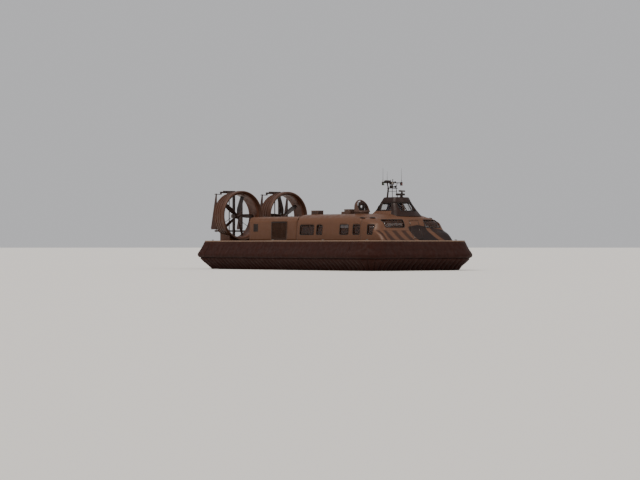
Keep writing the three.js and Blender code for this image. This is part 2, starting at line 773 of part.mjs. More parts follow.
// Angle of each propeller's first blade, from +Y towards +Z, in degrees
const propellers = [
  { name: "port", side: 1, start: 33 },
  { name: "starboard", side: -1, start: 0 },
];
for (const { name, side, start } of propellers) {
  const y = side * duct.y;
  const spinner = [
    { x: 290, r: 0 },
    { x: 250, r: 90 },
    { x: 150, r: 190 },
    { x: 0, r: propeller.hub },
    { x: -190, r: propeller.hub - 20 },
    { x: -190, r: 0 },
  ];
  const points = spinner.map(({ x, r }) => new THREE.Vector2(r, x));
  const body = new THREE.LatheGeometry(points, 20);
  body.rotateZ(-Math.PI / 2);
  const pieces = [outwards(body)];
  for (let i = 0; i < propeller.blades; i += 1) {
    const angle = THREE.MathUtils.degToRad(start - 90 + (360 * i) / propeller.blades);
    const turned = blade().map((section) =>
      section.map(([x, across, r]) => [
        x,
        across * Math.cos(angle) - r * Math.sin(angle),
        across * Math.sin(angle) + r * Math.cos(angle),
      ]),
    );
    const skin = loft(turned);
    pieces.push(skin.volume() > 0 ? skin : loft(turned.map((section) => section.slice().reverse())));
  }
  const whole = join(pieces).translate([pod.front + 190 + SEAT, y, duct.z]);
  add(`propeller_${name}`, whole, finish.black);
}

// Rudder beams behind each duct, and the two rudders that turn between them. The upper beam is
// short, and steps down at each end to a horn over the rudder's stock.
const beam = { x0: -11420, x1: -11240, reach: 980, topZ0: 6720, topZ1: 6870, lowZ0: 3290, lowZ1: 3430 };
const horn = { z0: 6590, z1: 6650, wide: 90 };
for (const { name, side } of sides) {
  const y = side * duct.y;
  const reach = rudder.offset + 140;
  const frame = [
    box(beam.x0, beam.x1, y - beam.reach, y + beam.reach, beam.topZ0, beam.topZ1),
    box(beam.x1 - 20, duct.rear - SEAT, y - 330, y + 330, 6560, beam.topZ1),
    box(beam.x0, beam.x1, y - reach, y + reach, beam.lowZ0, beam.lowZ1),
    box(beam.x0 + 40, beam.x1 - 40, y - 30, y + 30, beam.lowZ1 - 20, beam.topZ0 + 20),
  ];
  for (const end of [-1, 1]) {
    const along = (from, to) => [y + end * from, y + end * to].sort((a, b) => a - b);
    frame.push(
      box(beam.x0, beam.x1, ...along(beam.reach - horn.wide, reach), horn.z0, horn.z1),
      box(beam.x0, beam.x1, ...along(beam.reach - horn.wide, beam.reach), horn.z0, beam.topZ1),
      box(beam.x1 - 20, duct.rear - SEAT, ...along(reach - 90, reach), beam.lowZ0, beam.lowZ1),
    );
  }
  add(`rudder_frame_${name}`, join(frame), finish.metal);
}

// The rudder seen from the side: distance behind its hinge and height.
const rudderSide = [
  [-110, rudder.bottom],
  [rudder.chord, rudder.bottom + 60],
  [110, rudder.top - 40],
  [70, rudder.top],
  [-90, rudder.top],
];
for (const { name, side } of sides) {
  for (const { place, offset } of [
    { place: "outboard", offset: rudder.offset },
    { place: "inboard", offset: -rudder.offset },
  ]) {
    const y = side * (duct.y + offset);
    const flat = plate(rudderSide, 60);
    flat.rotateX(Math.PI / 2);
    flat.translate(0, 30, 0);
    flat.rotateZ(Math.PI);
    flat.translate(rudder.x, y, 0);
    const stock = bar(
      [rudder.x, y, beam.lowZ1 + SEAT],
      [rudder.x, y, horn.z0 - SEAT],
      45,
      12,
    );
    add(`rudder_${name}_${place}`, join([solidOf(flat), stock]), finish.paint);
  }
}

export default group;
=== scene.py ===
"""Looks of the passenger hovercraft: smooth skins, skirt, glazing, fittings and finishes, in metres.

+X is the bow, +Y port and +Z up. Surfaces are numpy grids and swept profiles.
"""
import math

import bpy
import numpy as np
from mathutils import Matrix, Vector
from mathutils.geometry import delaunay_2d_cdt


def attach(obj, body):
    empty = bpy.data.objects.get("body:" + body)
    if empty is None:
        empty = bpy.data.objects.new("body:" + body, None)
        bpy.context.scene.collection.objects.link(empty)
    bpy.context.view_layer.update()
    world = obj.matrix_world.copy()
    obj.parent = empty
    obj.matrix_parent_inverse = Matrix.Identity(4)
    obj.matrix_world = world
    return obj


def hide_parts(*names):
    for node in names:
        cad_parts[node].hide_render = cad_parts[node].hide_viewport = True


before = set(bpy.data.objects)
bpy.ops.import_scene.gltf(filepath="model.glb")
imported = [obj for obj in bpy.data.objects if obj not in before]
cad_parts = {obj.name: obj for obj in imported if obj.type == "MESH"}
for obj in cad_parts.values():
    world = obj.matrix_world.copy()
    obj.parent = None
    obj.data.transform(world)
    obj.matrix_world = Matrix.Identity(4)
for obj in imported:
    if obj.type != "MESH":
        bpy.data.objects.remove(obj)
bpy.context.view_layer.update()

chance = np.random.default_rng(11)
sides = [("port", 1), ("starboard", -1)]

# Places that several sections share, in metres
DECK = 2.46  # the deck's top
CLEAR = 0.0004  # the gap between touching solids
ON_DECK = DECK + CLEAR
BAG_LAP = 1.1  # from one lap joint of the skirt's bag to the next
DUCT_Y, DUCT_Z = 2.6, 4.7  # the ducts' axes


# Camera and stage

def new_object(name, data):
    """An object in the scene that shows the given mesh, camera or lamp."""
    made = bpy.data.objects.new(name, data)
    bpy.context.scene.collection.objects.link(made)
    return made


def photo_camera():
    """A long lens level with the lower cabin, off the starboard bow, as in the photograph."""
    frame_width_px, focal_px = 640, 2320
    shift_x_px, shift_y_px = -14.5, 4
    aim, distance, bearing = Vector((0.2, 0, 2.2)), 200, math.radians(50)
    lens = bpy.data.cameras.new("photo_camera")
    lens.sensor_width = 36
    lens.lens = lens.sensor_width * focal_px / frame_width_px
    lens.shift_x = shift_x_px / frame_width_px
    lens.shift_y = shift_y_px / frame_width_px
    lens.clip_start = 1
    lens.clip_end = 3000
    camera = new_object("photo_camera", lens)
    toward = Vector((-math.sin(bearing), math.cos(bearing), 0))
    camera.location = aim - distance * toward
    camera.rotation_mode = "QUATERNION"
    camera.rotation_quaternion = toward.to_track_quat("-Z", "Y")
    bpy.context.scene.camera = camera


def sun(name, strength, azimuth, height, width, color):
    """A soft lamp far off, at an azimuth counted as for the views and a height in degrees."""
    lamp = bpy.data.lights.new(name, "SUN")
    lamp.energy = strength
    lamp.color = color
    lamp.angle = math.radians(width)
    a, h = math.radians(azimuth), math.radians(height)
    place = Vector((math.sin(a) * math.cos(h), -math.cos(a) * math.cos(h), math.sin(h)))
    light = new_object(name, lamp)
    light.rotation_mode = "QUATERNION"
    light.rotation_quaternion = (-place).to_track_quat("-Z", "Y")


def studio_light():
    """Even pale light from all round."""
    world = bpy.data.worlds.new("studio")
    world.use_nodes = True
    background = world.node_tree.nodes["Background"]
    background.inputs["Color"].default_value = (0.80, 0.80, 0.82, 1)
    background.inputs["Strength"].default_value = 0.68
    bpy.context.scene.world = world


def make_floor():
    """A wide round floor, just under the craft."""
    rings, spokes, drop = np.array([0, 20, 60, 160, 400, 1200])[:, None], 64, 0.002
    angle = round_angles(spokes)
    height = np.full((len(rings), spokes), -drop)
    points = np.stack([rings * np.cos(angle), rings * np.sin(angle), height], axis=-1)
    shape = Shape(points, grid_faces(len(rings), spokes, False, True)).welded()
    mesh = bpy.data.meshes.new("floor")
    mesh.from_pydata(shape.points.tolist(), [], [f for k in shape.faces for f in k.tolist()])
    mesh.materials.append(stage_floor("stage_floor"))
    new_object("floor", mesh)


# Shapes

def grid_faces(rows, columns, close_rows=False, close_columns=False):
    """Four-sided faces between neighbouring points of a grid that is stored row by row."""
    r = np.arange(rows if close_rows else rows - 1)[:, None]
    c = np.arange(columns if close_columns else columns - 1)[None, :]
    r2, c2 = (r + 1) % rows, (c + 1) % columns
    corners = [r * columns + c, r2 * columns + c, r2 * columns + c2, r * columns + c2]
    return np.stack([np.broadcast_to(k, (r.size, c.size)).ravel() for k in corners], axis=1)


def unit(vectors):
    """Each vector divided by its own length."""
    return vectors / np.maximum(np.linalg.norm(vectors, axis=-1, keepdims=True), 1e-12)


class Shape:
    """Points, the faces between them, and for each point its place on a painted or woven pattern."""

    def __init__(self, points, faces, pattern=None):
        self.points = np.asarray(points, float).reshape(-1, 3)
        self.faces = faces if isinstance(faces, list) else [faces]
        self.pattern = None if pattern is None else np.asarray(pattern, float).reshape(-1, 2)

    def flipped(self):
        """The same shape with its faces turned over."""
        return Shape(self.points, [f[:, ::-1] for f in self.faces], self.pattern)

    def outward(self):
        """Turns a closed shape's faces out, by the sign of the volume that they enclose."""
        volume = 0.0
        middle = self.points.mean(axis=0)
        for f in self.faces:
            fan = self.points[f] - middle
            volume += np.einsum("ik,ijk->", fan[:, 0], np.cross(fan[:, 1:-1], fan[:, 2:]))
        return self if volume > 0 else self.flipped()

    def moved(self, offset):
        """The shape shifted by an offset."""
        return Shape(self.points + np.asarray(offset, float), self.faces, self.pattern)

    def only(self, keep):
        """The same points with the faces whose middles pass a test."""
        faces = [f[keep(self.points[f].mean(axis=1))] for f in self.faces]
        return Shape(self.points, [f for f in faces if len(f)], self.pattern)

    def welded(self):
        """Merges points that lie together, and turns four-sided faces that lose a corner into triangles."""
        _, first, inverse = np.unique(
            np.round(self.points, 5), axis=0, return_index=True, return_inverse=True
        )
        inverse = inverse.ravel()
        faces = []
        for f in self.faces:
            f = inverse[f]
            same = f == np.roll(f, -1, axis=1)
            count = same.sum(axis=1)
            faces.append(f[count == 0])
            if f.shape[1] == 4:
                faces.append(f[count == 1][~same[count == 1]].reshape(-1, 3))
        pattern = None if self.pattern is None else self.pattern[first]
        return Shape(self.points[first], [f for f in faces if len(f)], pattern)


def joined(shapes):
    """Several shapes as one."""
    shapes = list(shapes)
    start = np.cumsum([0] + [len(s.points) for s in shapes])
    faces = [f + k for s, k in zip(shapes, start) for f in s.faces]
    patterns = [np.zeros((len(s.points), 2)) if s.pattern is None else s.pattern for s in shapes]
    return Shape(np.concatenate([s.points for s in shapes]), faces, np.concatenate(patterns))


def put(name, parts, body="craft", stands_for=(), crease=35, wall=0.0):
    """Makes one mesh of (shape or list of shapes, finish) pairs that rides on a body and may stand for
    CAD nodes. A wall is a sheet's thickness, inward from its outer face."""
    parts = [(s if isinstance(s, list) else [s], finish) for s, finish in parts]
    parts = [(s, finish) for shapes, finish in parts for s in shapes]
    finishes = list(dict.fromkeys(finish for _, finish in parts))
    start = np.cumsum([0] + [len(s.points) for s, _ in parts])
    corners, counts, looks = [], [], []
    for (shape, finish), k in zip(parts, start):
        for f in shape.faces:
            corners.append((f + k).ravel())
            counts.append(np.full(len(f), f.shape[1]))
            looks.append(np.full(len(f), finishes.index(finish)))
    corners, counts, looks = (np.concatenate(x).astype(np.int32) for x in (corners, counts, looks))
    whole = joined([s for s, _ in parts])
    mesh = bpy.data.meshes.new(name)
    mesh.vertices.add(len(whole.points))
    mesh.vertices.foreach_set("co", whole.points.astype(np.float32).ravel())
    mesh.loops.add(len(corners))
    mesh.loops.foreach_set("vertex_index", corners)
    mesh.polygons.add(len(counts))
    mesh.polygons.foreach_set("loop_start", (np.cumsum(counts) - counts).astype(np.int32))
    mesh.polygons.foreach_set("material_index", looks)
    if any(s.pattern is not None for s, _ in parts):
        layer = mesh.uv_layers.new(name="pattern")
        layer.uv.foreach_set("vector", whole.pattern[corners].astype(np.float32).ravel())
    mesh.update(calc_edges=True)
    mesh.validate()
    mesh.shade_smooth()
    mesh.set_sharp_from_angle(angle=math.radians(crease))
    for finish in finishes:
        mesh.materials.append(finish)
    piece = new_object(name, mesh)
    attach(piece, body)
    if stands_for:
        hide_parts(*([stands_for] if isinstance(stands_for, str) else stands_for))
    if wall:
        sheet = piece.modifiers.new("wall", "SOLIDIFY")
        sheet.thickness = wall
        sheet.offset = -1
    return piece


def soften(piece, width):
    """Rounds the sharp edges of a piece."""
    edge = piece.modifiers.new("edge", "BEVEL")
    edge.width = width
    edge.segments = 2
    edge.limit_method = "ANGLE"
    edge.angle_limit = math.radians(40)


def flowing(table, at):
    """Smooth curve through a table's rows. Between two rows each column follows the cubic that
    leaves and meets them along the line between their neighbours."""
    table, at = np.asarray(table, float), np.asarray(at, float)
    last = len(table) - 1
    i = np.clip(np.floor(at).astype(int), 0, last - 1)
    f = (at - i)[..., None]
    a, b, c, d = (table[np.clip(i + k, 0, last)] for k in (-1, 0, 1, 2))
    return 0.5 * (2 * b + (c - a) * f + (2 * a - 5 * b + 4 * c - d) * f**2 + (3 * b - a - 3 * c + d) * f**3)


def round_angles(count):
    """Angles evenly round a circle."""
    return np.arange(count) * 2 * np.pi / count


def lengths(line):
    """The distance along a line of points to each of them."""
    return np.concatenate([[0], np.cumsum(np.linalg.norm(np.diff(line, axis=0), axis=1))])


def circle(radius, count):
    """Points evenly round a circle."""
    angle = round_angles(count)
    return radius * np.stack([np.cos(angle), np.sin(angle)], axis=1)


def round_rectangle(width, height, radius, steps=5):
    """A rectangle about its middle with quarter circles for corners."""
    angle = np.radians(np.linspace(0, 90, steps)[None, :] + np.arange(4)[:, None] * 90)
    radius = min(radius, width / 2, height / 2)
    middle = np.array([[1, 1], [-1, 1], [-1, -1], [1, -1]]) * [width / 2 - radius, height / 2 - radius]
    return (middle[:, None, :] + radius * np.stack([np.cos(angle), np.sin(angle)], -1)).reshape(-1, 2)


def evenly(loop, step):
    """A closed loop sampled again at even steps along its length."""
    loop = np.asarray(loop, float)
    closed = np.concatenate([loop, loop[:1]])
    length = lengths(closed)
    at = np.linspace(0, length[-1], max(8, int(length[-1] / step)), endpoint=False)
    return np.stack([np.interp(at, length, closed[:, k]) for k in range(closed.shape[1])], axis=1)


def tube(points):
    """Rows of closed sections, with the first and last closed by a flat end."""
    rows, columns = points.shape[:2]
    ends = [np.arange(columns)[None, ::-1], (rows - 1) * columns + np.arange(columns)[None, :]]
    return Shape(points, [grid_faces(rows, columns, False, True)] + ends)


def sweep(path, out, profile, closed=False, scale=1.0):
    """Carries a flat profile along a path. Each point is the path's, plus the profile's first
    number along `out` and its second along the direction square to the path and to `out`."""
    path = np.asarray(path, float)
    profile = np.asarray(profile, float)
    tangent = np.roll(path, -1, 0) - np.roll(path, 1, 0) if closed else np.gradient(path, axis=0)
    tangent = unit(tangent)
    out = np.broadcast_to(np.asarray(out, float), path.shape)
    out = unit(out - (out * tangent).sum(1, keepdims=True) * tangent)
    side = np.cross(tangent, out)
    size = np.broadcast_to(scale, len(path))[:, None, None]
    points = path[:, None] + size * (
        profile[None, :, :1] * out[:, None] + profile[None, :, 1:] * side[:, None]
    )
    if closed:
        return Shape(points, grid_faces(len(path), len(profile), True, True)).outward()
    return tube(points).outward()


def across(direction):
    """A direction square to the given one."""
    direction = unit(np.asarray(direction, float))
    helper = [0, 0, 1] if abs(direction[2]) < 0.9 else [1, 0, 0]
    return unit(np.cross(direction, helper))


def rod(start, end, radius, end_radius=None, count=16):
    """A round bar between two points, tapered where it has a second radius."""
    path = np.array([start, end], float)
    scale = [1.0, 1.0 if end_radius is None else end_radius / radius]
    return sweep(path, across(path[1] - path[0]), circle(radius, count), scale=scale)


def strut(start, end, width, depth, out, radius=None):
    """A bar of round-cornered section between two points: width is along `out`."""
    profile = round_rectangle(width, depth, min(width, depth) * 0.3 if radius is None else radius, 4)
    return sweep([start, end], out, profile)


def turned(profile, centre, count, axis=0, closed=False):
    """Turns a profile of (distance along the axis, radius) once round the axis."""
    profile = np.asarray(profile, float)
    angle = round_angles(count)
    points = np.empty((len(profile), count, 3))
    points[..., axis] = profile[:, :1]
    points[..., (axis + 1) % 3] = profile[:, 1:] * np.cos(angle)
    points[..., (axis + 2) % 3] = profile[:, 1:] * np.sin(angle)
    faces = grid_faces(len(profile), count, closed, True)
    return Shape(points + np.asarray(centre, float), faces).welded().outward()


def boss(profile, x, y, count):
    """Turns a profile of (height, radius) round an upright axis."""
    return turned(profile, (x, y, 0), axis=2, count=count)


def block(low, high, radius, steps=3, inner=1):
    """A box with round edges: each point is a corner or edge of a smaller box plus the radius
    along the direction that leans out of it."""
    low, high = np.asarray(low, float), np.asarray(high, float)
    half = (high - low) / 2
    radius = min(radius, half.min() * 0.999)
    base = np.concatenate([-np.ones(steps), np.linspace(-1, 1, inner + 1)[1:-1], np.ones(steps)])
    lean = np.concatenate([np.linspace(-1, 0, steps), np.zeros(inner - 1), np.linspace(0, 1, steps)])
    bu, bv = np.meshgrid(base, base, indexing="ij")
    lu, lv = np.meshgrid(lean, lean, indexing="ij")
    pieces = []
    for axis in range(3):
        for end in (-1, 1):
            at, way = np.empty(bu.shape + (3,)), np.empty(bu.shape + (3,))
            at[..., axis], way[..., axis] = end, end
            at[..., (axis + 1) % 3], way[..., (axis + 1) % 3] = bu, lu
            at[..., (axis + 2) % 3], way[..., (axis + 2) % 3] = bv, lv
            points = (low + high) / 2 + at * (half - radius) + radius * unit(way)
            shape = Shape(points, grid_faces(*bu.shape))
            pieces.append(shape if end > 0 else shape.flipped())
    whole = joined(pieces)
    return Shape(whole.points, whole.faces).welded()


def slab(x, y, z, radius, middle=0.0):
    """A block given by its spans in x, y and z, where a single y is a half width about `middle`."""
    y0, y1 = y if isinstance(y, tuple) else (middle - y, middle + y)
    return block((x[0], y0, z[0]), (x[1], y1, z[1]), radius)


def prism(outline, low, high):
    """Pushes a flat outline, given as (y, z), along X from low to high."""
    ends = [np.column_stack([np.full(len(outline), x), outline]) for x in (low, high)]
    return tube(np.stack(ends)).outward()


def inside(loop, points):
    """Tells which points are inside a closed loop, by counting the edges to the right of each."""
    x, y = points[:, :1], points[:, 1:]
    a, b = loop, np.roll(loop, -1, axis=0)
    spans = (a[:, 1] > y) != (b[:, 1] > y)
    rise = np.where(b[:, 1] == a[:, 1], 1e-12, b[:, 1] - a[:, 1])
    return (spans & (x < a[:, 0] + (y - a[:, 1]) * (b[:, 0] - a[:, 0]) / rise)).sum(1) % 2 == 1


def cut_sheet(border, holes, spacing):
    """Triangles that fill a border but not its holes, in a flat plane: the loops' own points and
    an even grid between them."""
    loops = [border] + list(holes)
    edge_points = np.concatenate(loops)
    low, high = border.min(0), border.max(0)
    counts = np.maximum(2, ((high - low) / spacing).astype(int))
    gx, gy = np.meshgrid(*(np.linspace(low[k], high[k], counts[k] + 1) for k in (0, 1)))
    fill = np.stack([gx.ravel(), gy.ravel()], axis=1)
    fill = fill[inside(border, fill)]
    for hole in holes:
        fill = fill[~inside(hole, fill)]
    gap = np.sqrt(((fill[:, None] - edge_points[None]) ** 2).sum(-1)).min(axis=1)
    fill = fill[gap > spacing * 0.4]
    start = np.cumsum([0] + [len(k) for k in loops])
    edges = [
        pair
        for loop, s in zip(loops, start)
        for pair in zip(range(s, s + len(loop)), [*range(s + 1, s + len(loop)), s])
    ]
    flat = np.concatenate([edge_points, fill])
    found = delaunay_2d_cdt([Vector(p) for p in flat.tolist()], edges, [], 0, 1e-6)
    flat = np.array([tuple(p) for p in found[0]])
    faces = np.array([f for f in found[2] if len(f) == 3])
    middle = flat[faces].mean(axis=1)
    keep = inside(border, middle)
    for hole in holes:
        keep &= ~inside(hole, middle)
    faces = faces[keep]
    a, b, c = flat[faces[:, 0]], flat[faces[:, 1]], flat[faces[:, 2]]
    turn = (b[:, 0] - a[:, 0]) * (c[:, 1] - a[:, 1]) - (b[:, 1] - a[:, 1]) * (c[:, 0] - a[:, 0])
    faces[turn < 0] = faces[turn < 0][:, ::-1]
    return flat, faces


MID_SIDE = 2.5  # where `a` is at the middle of a skin's port side


class Skin:
    """The outside of a cabin. `a` runs round the plan: 0 at the stern's middle, 1 and 2 at the
    ends of the port rear corner, 3 and 4 at the ends of the port front corner, 5 at the bow's
    middle, and on to 10 by starboard. `w` counts the levels upward."""

    def __init__(self, levels, rear_radius, smooth=True):
        self.levels = np.array(levels, float)  # height, rear, front, half width, radius, bulge
        self.rear_radius = rear_radius
        self.smooth = smooth
        self.top = len(levels) - 1
        self.a_marks = np.linspace(0, 10, 801)
        self.w_marks = np.linspace(0, self.top, 161)
        around = self.point(self.a_marks, np.full(self.a_marks.shape, self.top * 0.35))
        self.wall = self.point(np.full(self.w_marks.shape, MID_SIDE), self.w_marks)
        self.p_marks, self.q_marks = (
            np.concatenate([[0], np.cumsum(np.linalg.norm(np.diff(line, axis=0), axis=1) + 1e-6)])
            for line in (around, self.wall)
        )
        self.bow = np.interp(5, self.a_marks, self.p_marks)

    def row(self, w):
        """The level's row of the table at any w: by a flowing curve, or straight between rows."""
        if self.smooth:
            return flowing(self.levels, w)
        marks = np.arange(self.top + 1)
        return np.stack([np.interp(w, marks, k) for k in self.levels.T], axis=-1)

    def point(self, a, w):
        """A rounded rectangle of the level's half width and ends, whose front is pushed ahead by
        the bulge times one minus the square of the share of the half width."""
        a, w = np.broadcast_arrays(np.asarray(a, float), np.asarray(w, float))
        z, rear, front, half, radius, bulge = np.moveaxis(self.row(w), -1, 0)
        rr = self.rear_radius
        b = np.where(a > 5, 10 - a, a)
        k = np.clip(np.floor(b).astype(int), 0, 4)
        f = b - k
        sine, cosine = np.sin(f * np.pi / 2), np.cos(f * np.pi / 2)
        x = np.choose(k, [
            rear,
            rear + rr - rr * cosine,
            rear + rr + (front - radius - rear - rr) * f,
            front - radius + radius * sine,
            front,
        ])
        y = np.choose(k, [
            (half - rr) * f,
            half - rr + rr * sine,
            half,
            half - radius + radius * cosine,
            (half - radius) * (1 - f),
        ])
        ahead = np.clip((x - front + radius) / radius, 0, 1)
        x = x + bulge * ahead * (1 - (y / half) ** 2)
        return np.stack([x, np.where(a > 5, -y, y), z], axis=-1)

    def normal(self, a, w):
        """Outward direction: the cross product of small steps up and round the skin."""
        d = 2e-3
        low, high = np.clip(w - d, 0, self.top), np.clip(w + d, 0, self.top)
        up = self.point(a, high) - self.point(a, low)
        return unit(np.cross(up, self.point(a + d, w) - self.point(a - d, w)))

    def w_of(self, z):
        """The level at a height."""
        return np.interp(z, self.wall[:, 2], self.w_marks)

    def a_where(self, value, z, low, high, axis):
        """Halves the range of `a` again and again until the skin's x or y there is the value."""
        value, z = np.broadcast_arrays(np.asarray(value, float), np.asarray(z, float))
        w = self.w_of(z)
        low, high = np.full(value.shape, float(low)), np.full(value.shape, float(high))
        rising = self.point(high, w)[..., axis] > self.point(low, w)[..., axis]
        for _ in range(36):
            middle = (low + high) / 2
            short = (self.point(middle, w)[..., axis] < value) == rising
            low, high = np.where(short, middle, low), np.where(short, high, middle)
        return low

    def by_x(self, x, z, side=1):
        """(a, w) of the place on the side wall at a distance along the craft and a height."""
        a = self.a_where(x, z, 1.0, 4.6, 0)
        return np.stack([a if side > 0 else 10 - a, self.w_of(z) + 0 * a], axis=-1)

    def by_y(self, y, z):
        """(a, w) of the place on the front at a distance to port and a height."""
        a = self.a_where(y, z, 3.0, 7.0, 1)
        return np.stack([a, self.w_of(z) + 0 * a], axis=-1)

    def flat(self, aw):
        """(a, w) laid out in metres along and up the skin."""
        return np.stack([
            np.interp(aw[:, 0], self.a_marks, self.p_marks),
            np.interp(aw[:, 1], self.w_marks, self.q_marks),
        ], axis=1)

    def places(self, flat):
        """(a, w) of places laid out flat."""
        a = np.interp(flat[:, 0], self.p_marks, self.a_marks)
        w = np.interp(flat[:, 1], self.q_marks, self.w_marks)
        return np.stack([a, w], axis=1)

    def grown(self, loop, margin):
        """A loop of (a, w) made larger all round by a margin, or smaller by a negative one."""
        flat = self.flat(loop)
        middle = flat.mean(axis=0)
        half = (flat.max(0) - flat.min(0)) / 2
        return self.places(middle + (flat - middle) * (1 + margin / half))

    def raised(self, flat, height):
        """Points of the skin for places laid out flat, moved outward by a height."""
        a, w = self.places(flat).T
        points = self.point(a, w)
        return points + height * self.normal(a, w) if height else points

    def sheet(self, border, holes=(), spacing=0.16, height=0.0):
        """The skin inside a border and outside its holes, whose loops are given as (a, w)."""
        flat, faces = cut_sheet(self.flat(border), [self.flat(h) for h in holes], spacing)
        points = self.raised(flat, height)
        pattern = np.stack([self.bow - flat[:, 0], points[:, 2]], axis=1)
        return Shape(points, faces[:, ::-1], pattern)

    def trim(self, loop, profile, height=0.0):
        """A strip of a given profile round a loop of (a, w), standing on the skin."""
        path = self.raised(self.flat(loop), height)
        out = self.normal(loop[:, 0], loop[:, 1])
        return sweep(path, out, profile, closed=True)

    def band(self, a0, a1, w0, w1, around, up):
        """A plain grid of the skin between two places round it and two levels."""
        a, w = np.meshgrid(np.linspace(a0, a1, around), np.linspace(w0, w1, up), indexing="ij")
        points = self.point(a, w)
        s = self.bow - np.interp(a, self.a_marks, self.p_marks)
        return Shape(points, grid_faces(around, up)[:, ::-1], np.stack([s, points[..., 2]], -1))


def edge_line(start, end, count):
    """Evenly spaced places from one (a, w) to another, without the last."""
    return np.linspace(start, end, count, endpoint=False)


def patch(a0, a1, w0, w1, along, up):
    """The border of a skin's part between two places round it and two levels."""
    corners = [(a0, w0), (a1, w0), (a1, w1), (a0, w1)]
    counts = [along, up, along, up]
    return np.concatenate([edge_line(corners[k], corners[(k + 1) % 4], counts[k]) for k in range(4)])


def other_side(places):
    """Places of (a, w) carried over to the craft's other side."""
    return np.column_stack([10 - places[:, 0], places[:, 1]])


def window_loop(x0, x1, z0, z1, radius, step=0.045):
    """A rectangle with round corners, given by its ends and heights."""
    loop = round_rectangle(x1 - x0, z1 - z0, radius, 6) + [(x0 + x1) / 2, (z0 + z1) / 2]
    return evenly(loop, step)


# A window seal's section: (out from the skin, across the seal)
SEAL = [
    (-0.012, -0.024), (0.006, -0.026), (0.015, -0.016), (0.017, 0.0), (0.013, 0.018), (0.004, 0.026),
    (-0.012, 0.024),
]


# Finishes

def tone(code):
    """A colour from its web code, as linear light."""
    value = np.array([int(code[k : k + 2], 16) for k in (1, 3, 5)]) / 255
    linear = np.where(value <= 0.04045, value / 12.92, ((value + 0.055) / 1.055) ** 2.4)
    return (*linear.tolist(), 1.0)


class Finish:
    """Builds one finish from shader nodes, on the piece's own coordinates."""

    def __init__(self, name, color, rough, metal=0.0, **settings):
        self.material = bpy.data.materials.new(name)
        self.material.use_nodes = True
        self.nodes = self.material.node_tree.nodes
        self.links = self.material.node_tree.links
        self.shader = self.nodes["Principled BSDF"]
        self.shader.inputs["Metallic"].default_value = metal
        self.shader.inputs["Roughness"].default_value = rough
        self.shader.inputs["Base Color"].default_value = tone(color)
        for key, value in settings.items():
            self.shader.inputs[key.replace("_", " ").title().replace("Ior", "IOR")].default_value = value
        self.material.diffuse_color = tone(color)
        self.color = tone(color)
        self.relief = None
        self.place = self.nodes.new("ShaderNodeTexCoord").outputs["Object"]
        apart = self.add("ShaderNodeSeparateXYZ", [self.place])
        self.x, self.y, self.z = apart.outputs

    def add(self, kind, inputs, **settings):
        """A node with its settings, whose inputs are sockets or values in order."""
        node = self.nodes.new(kind)
        for key, value in settings.items():
            setattr(node, key, value)
        for k, value in (inputs.items() if isinstance(inputs, dict) else enumerate(inputs)):
            if value is None:
                continue
            if isinstance(value, bpy.types.NodeSocket):
                self.links.new(value, node.inputs[k])
            else:
                node.inputs[k].default_value = value
        return node

    def math(self, operation, *values):
        """One sum, product or other operation on sockets or numbers."""
        return self.add("ShaderNodeMath", list(values), operation=operation).outputs[0]

    def times(self, first, second):
        """The product of two sockets or numbers."""
        return self.math("MULTIPLY", first, second)

    def noise(self, scale, detail, stretch=None):
        """Cloudy noise from 0 to 1, drawn out along the axes by `stretch`."""
        place = self.place
        if stretch:
            place = self.add("ShaderNodeMapping", {"Vector": place, "Scale": stretch}).outputs[0]
        inputs = {"Vector": place, "Scale": scale, "Detail": detail, "Roughness": 0.55}
        return self.add("ShaderNodeTexNoise", inputs).outputs[0]

    def span(self, value, low, high, new_low=0.0, new_high=1.0):
        """Maps one range to another and holds it at the ends."""
        inputs = [value, low, high, new_low, new_high]
        return self.add("ShaderNodeMapRange", inputs, interpolation_type="SMOOTHSTEP").outputs[0]

    def pick(self, share, first, second):
        """Mixes two colours, or a colour and what is already there."""
        inputs = {0: share, 6: first, 7: second}
        return self.add("ShaderNodeMix", inputs, data_type="RGBA").outputs[2]

    def stain(self, base, share, amount, code):
        """Lays a colour over another, by an amount where the share is 1."""
        return self.pick(self.times(share, amount), base, tone(code))

    def near(self, value, pitch, width, offset=0.0):
        """1 on lines at every pitch along a value, 0 between them."""
        shifted = self.math("ADD", value, offset)
        inward = self.math("PINGPONG", shifted, pitch / 2)
        return self.span(inward, width * 0.4, width, 1.0, 0.0)

    def lift(self, height, amount):
        """Adds a height in metres to the relief."""
        step = self.times(height, amount)
        self.relief = step if self.relief is None else self.math("ADD", self.relief, step)

    def done(self, color, rough=None):
        """Links the colour, the roughness and the relief, and hands over the material."""
        self.links.new(color, self.shader.inputs["Base Color"])
        if rough is not None:
            self.links.new(rough, self.shader.inputs["Roughness"])
        if self.relief is not None:
            bump = self.add("ShaderNodeBump", {"Height": self.relief, "Distance": 1.0, "Strength": 1.0})
            self.links.new(bump.outputs[0], self.shader.inputs["Normal"])
        return self.material

    def pattern(self):
        """The piece's own pattern coordinates: along and up."""
        node = self.add("ShaderNodeUVMap", [], uv_map="pattern")
        return self.add("ShaderNodeSeparateXYZ", [node.outputs[0]]).outputs[:2]


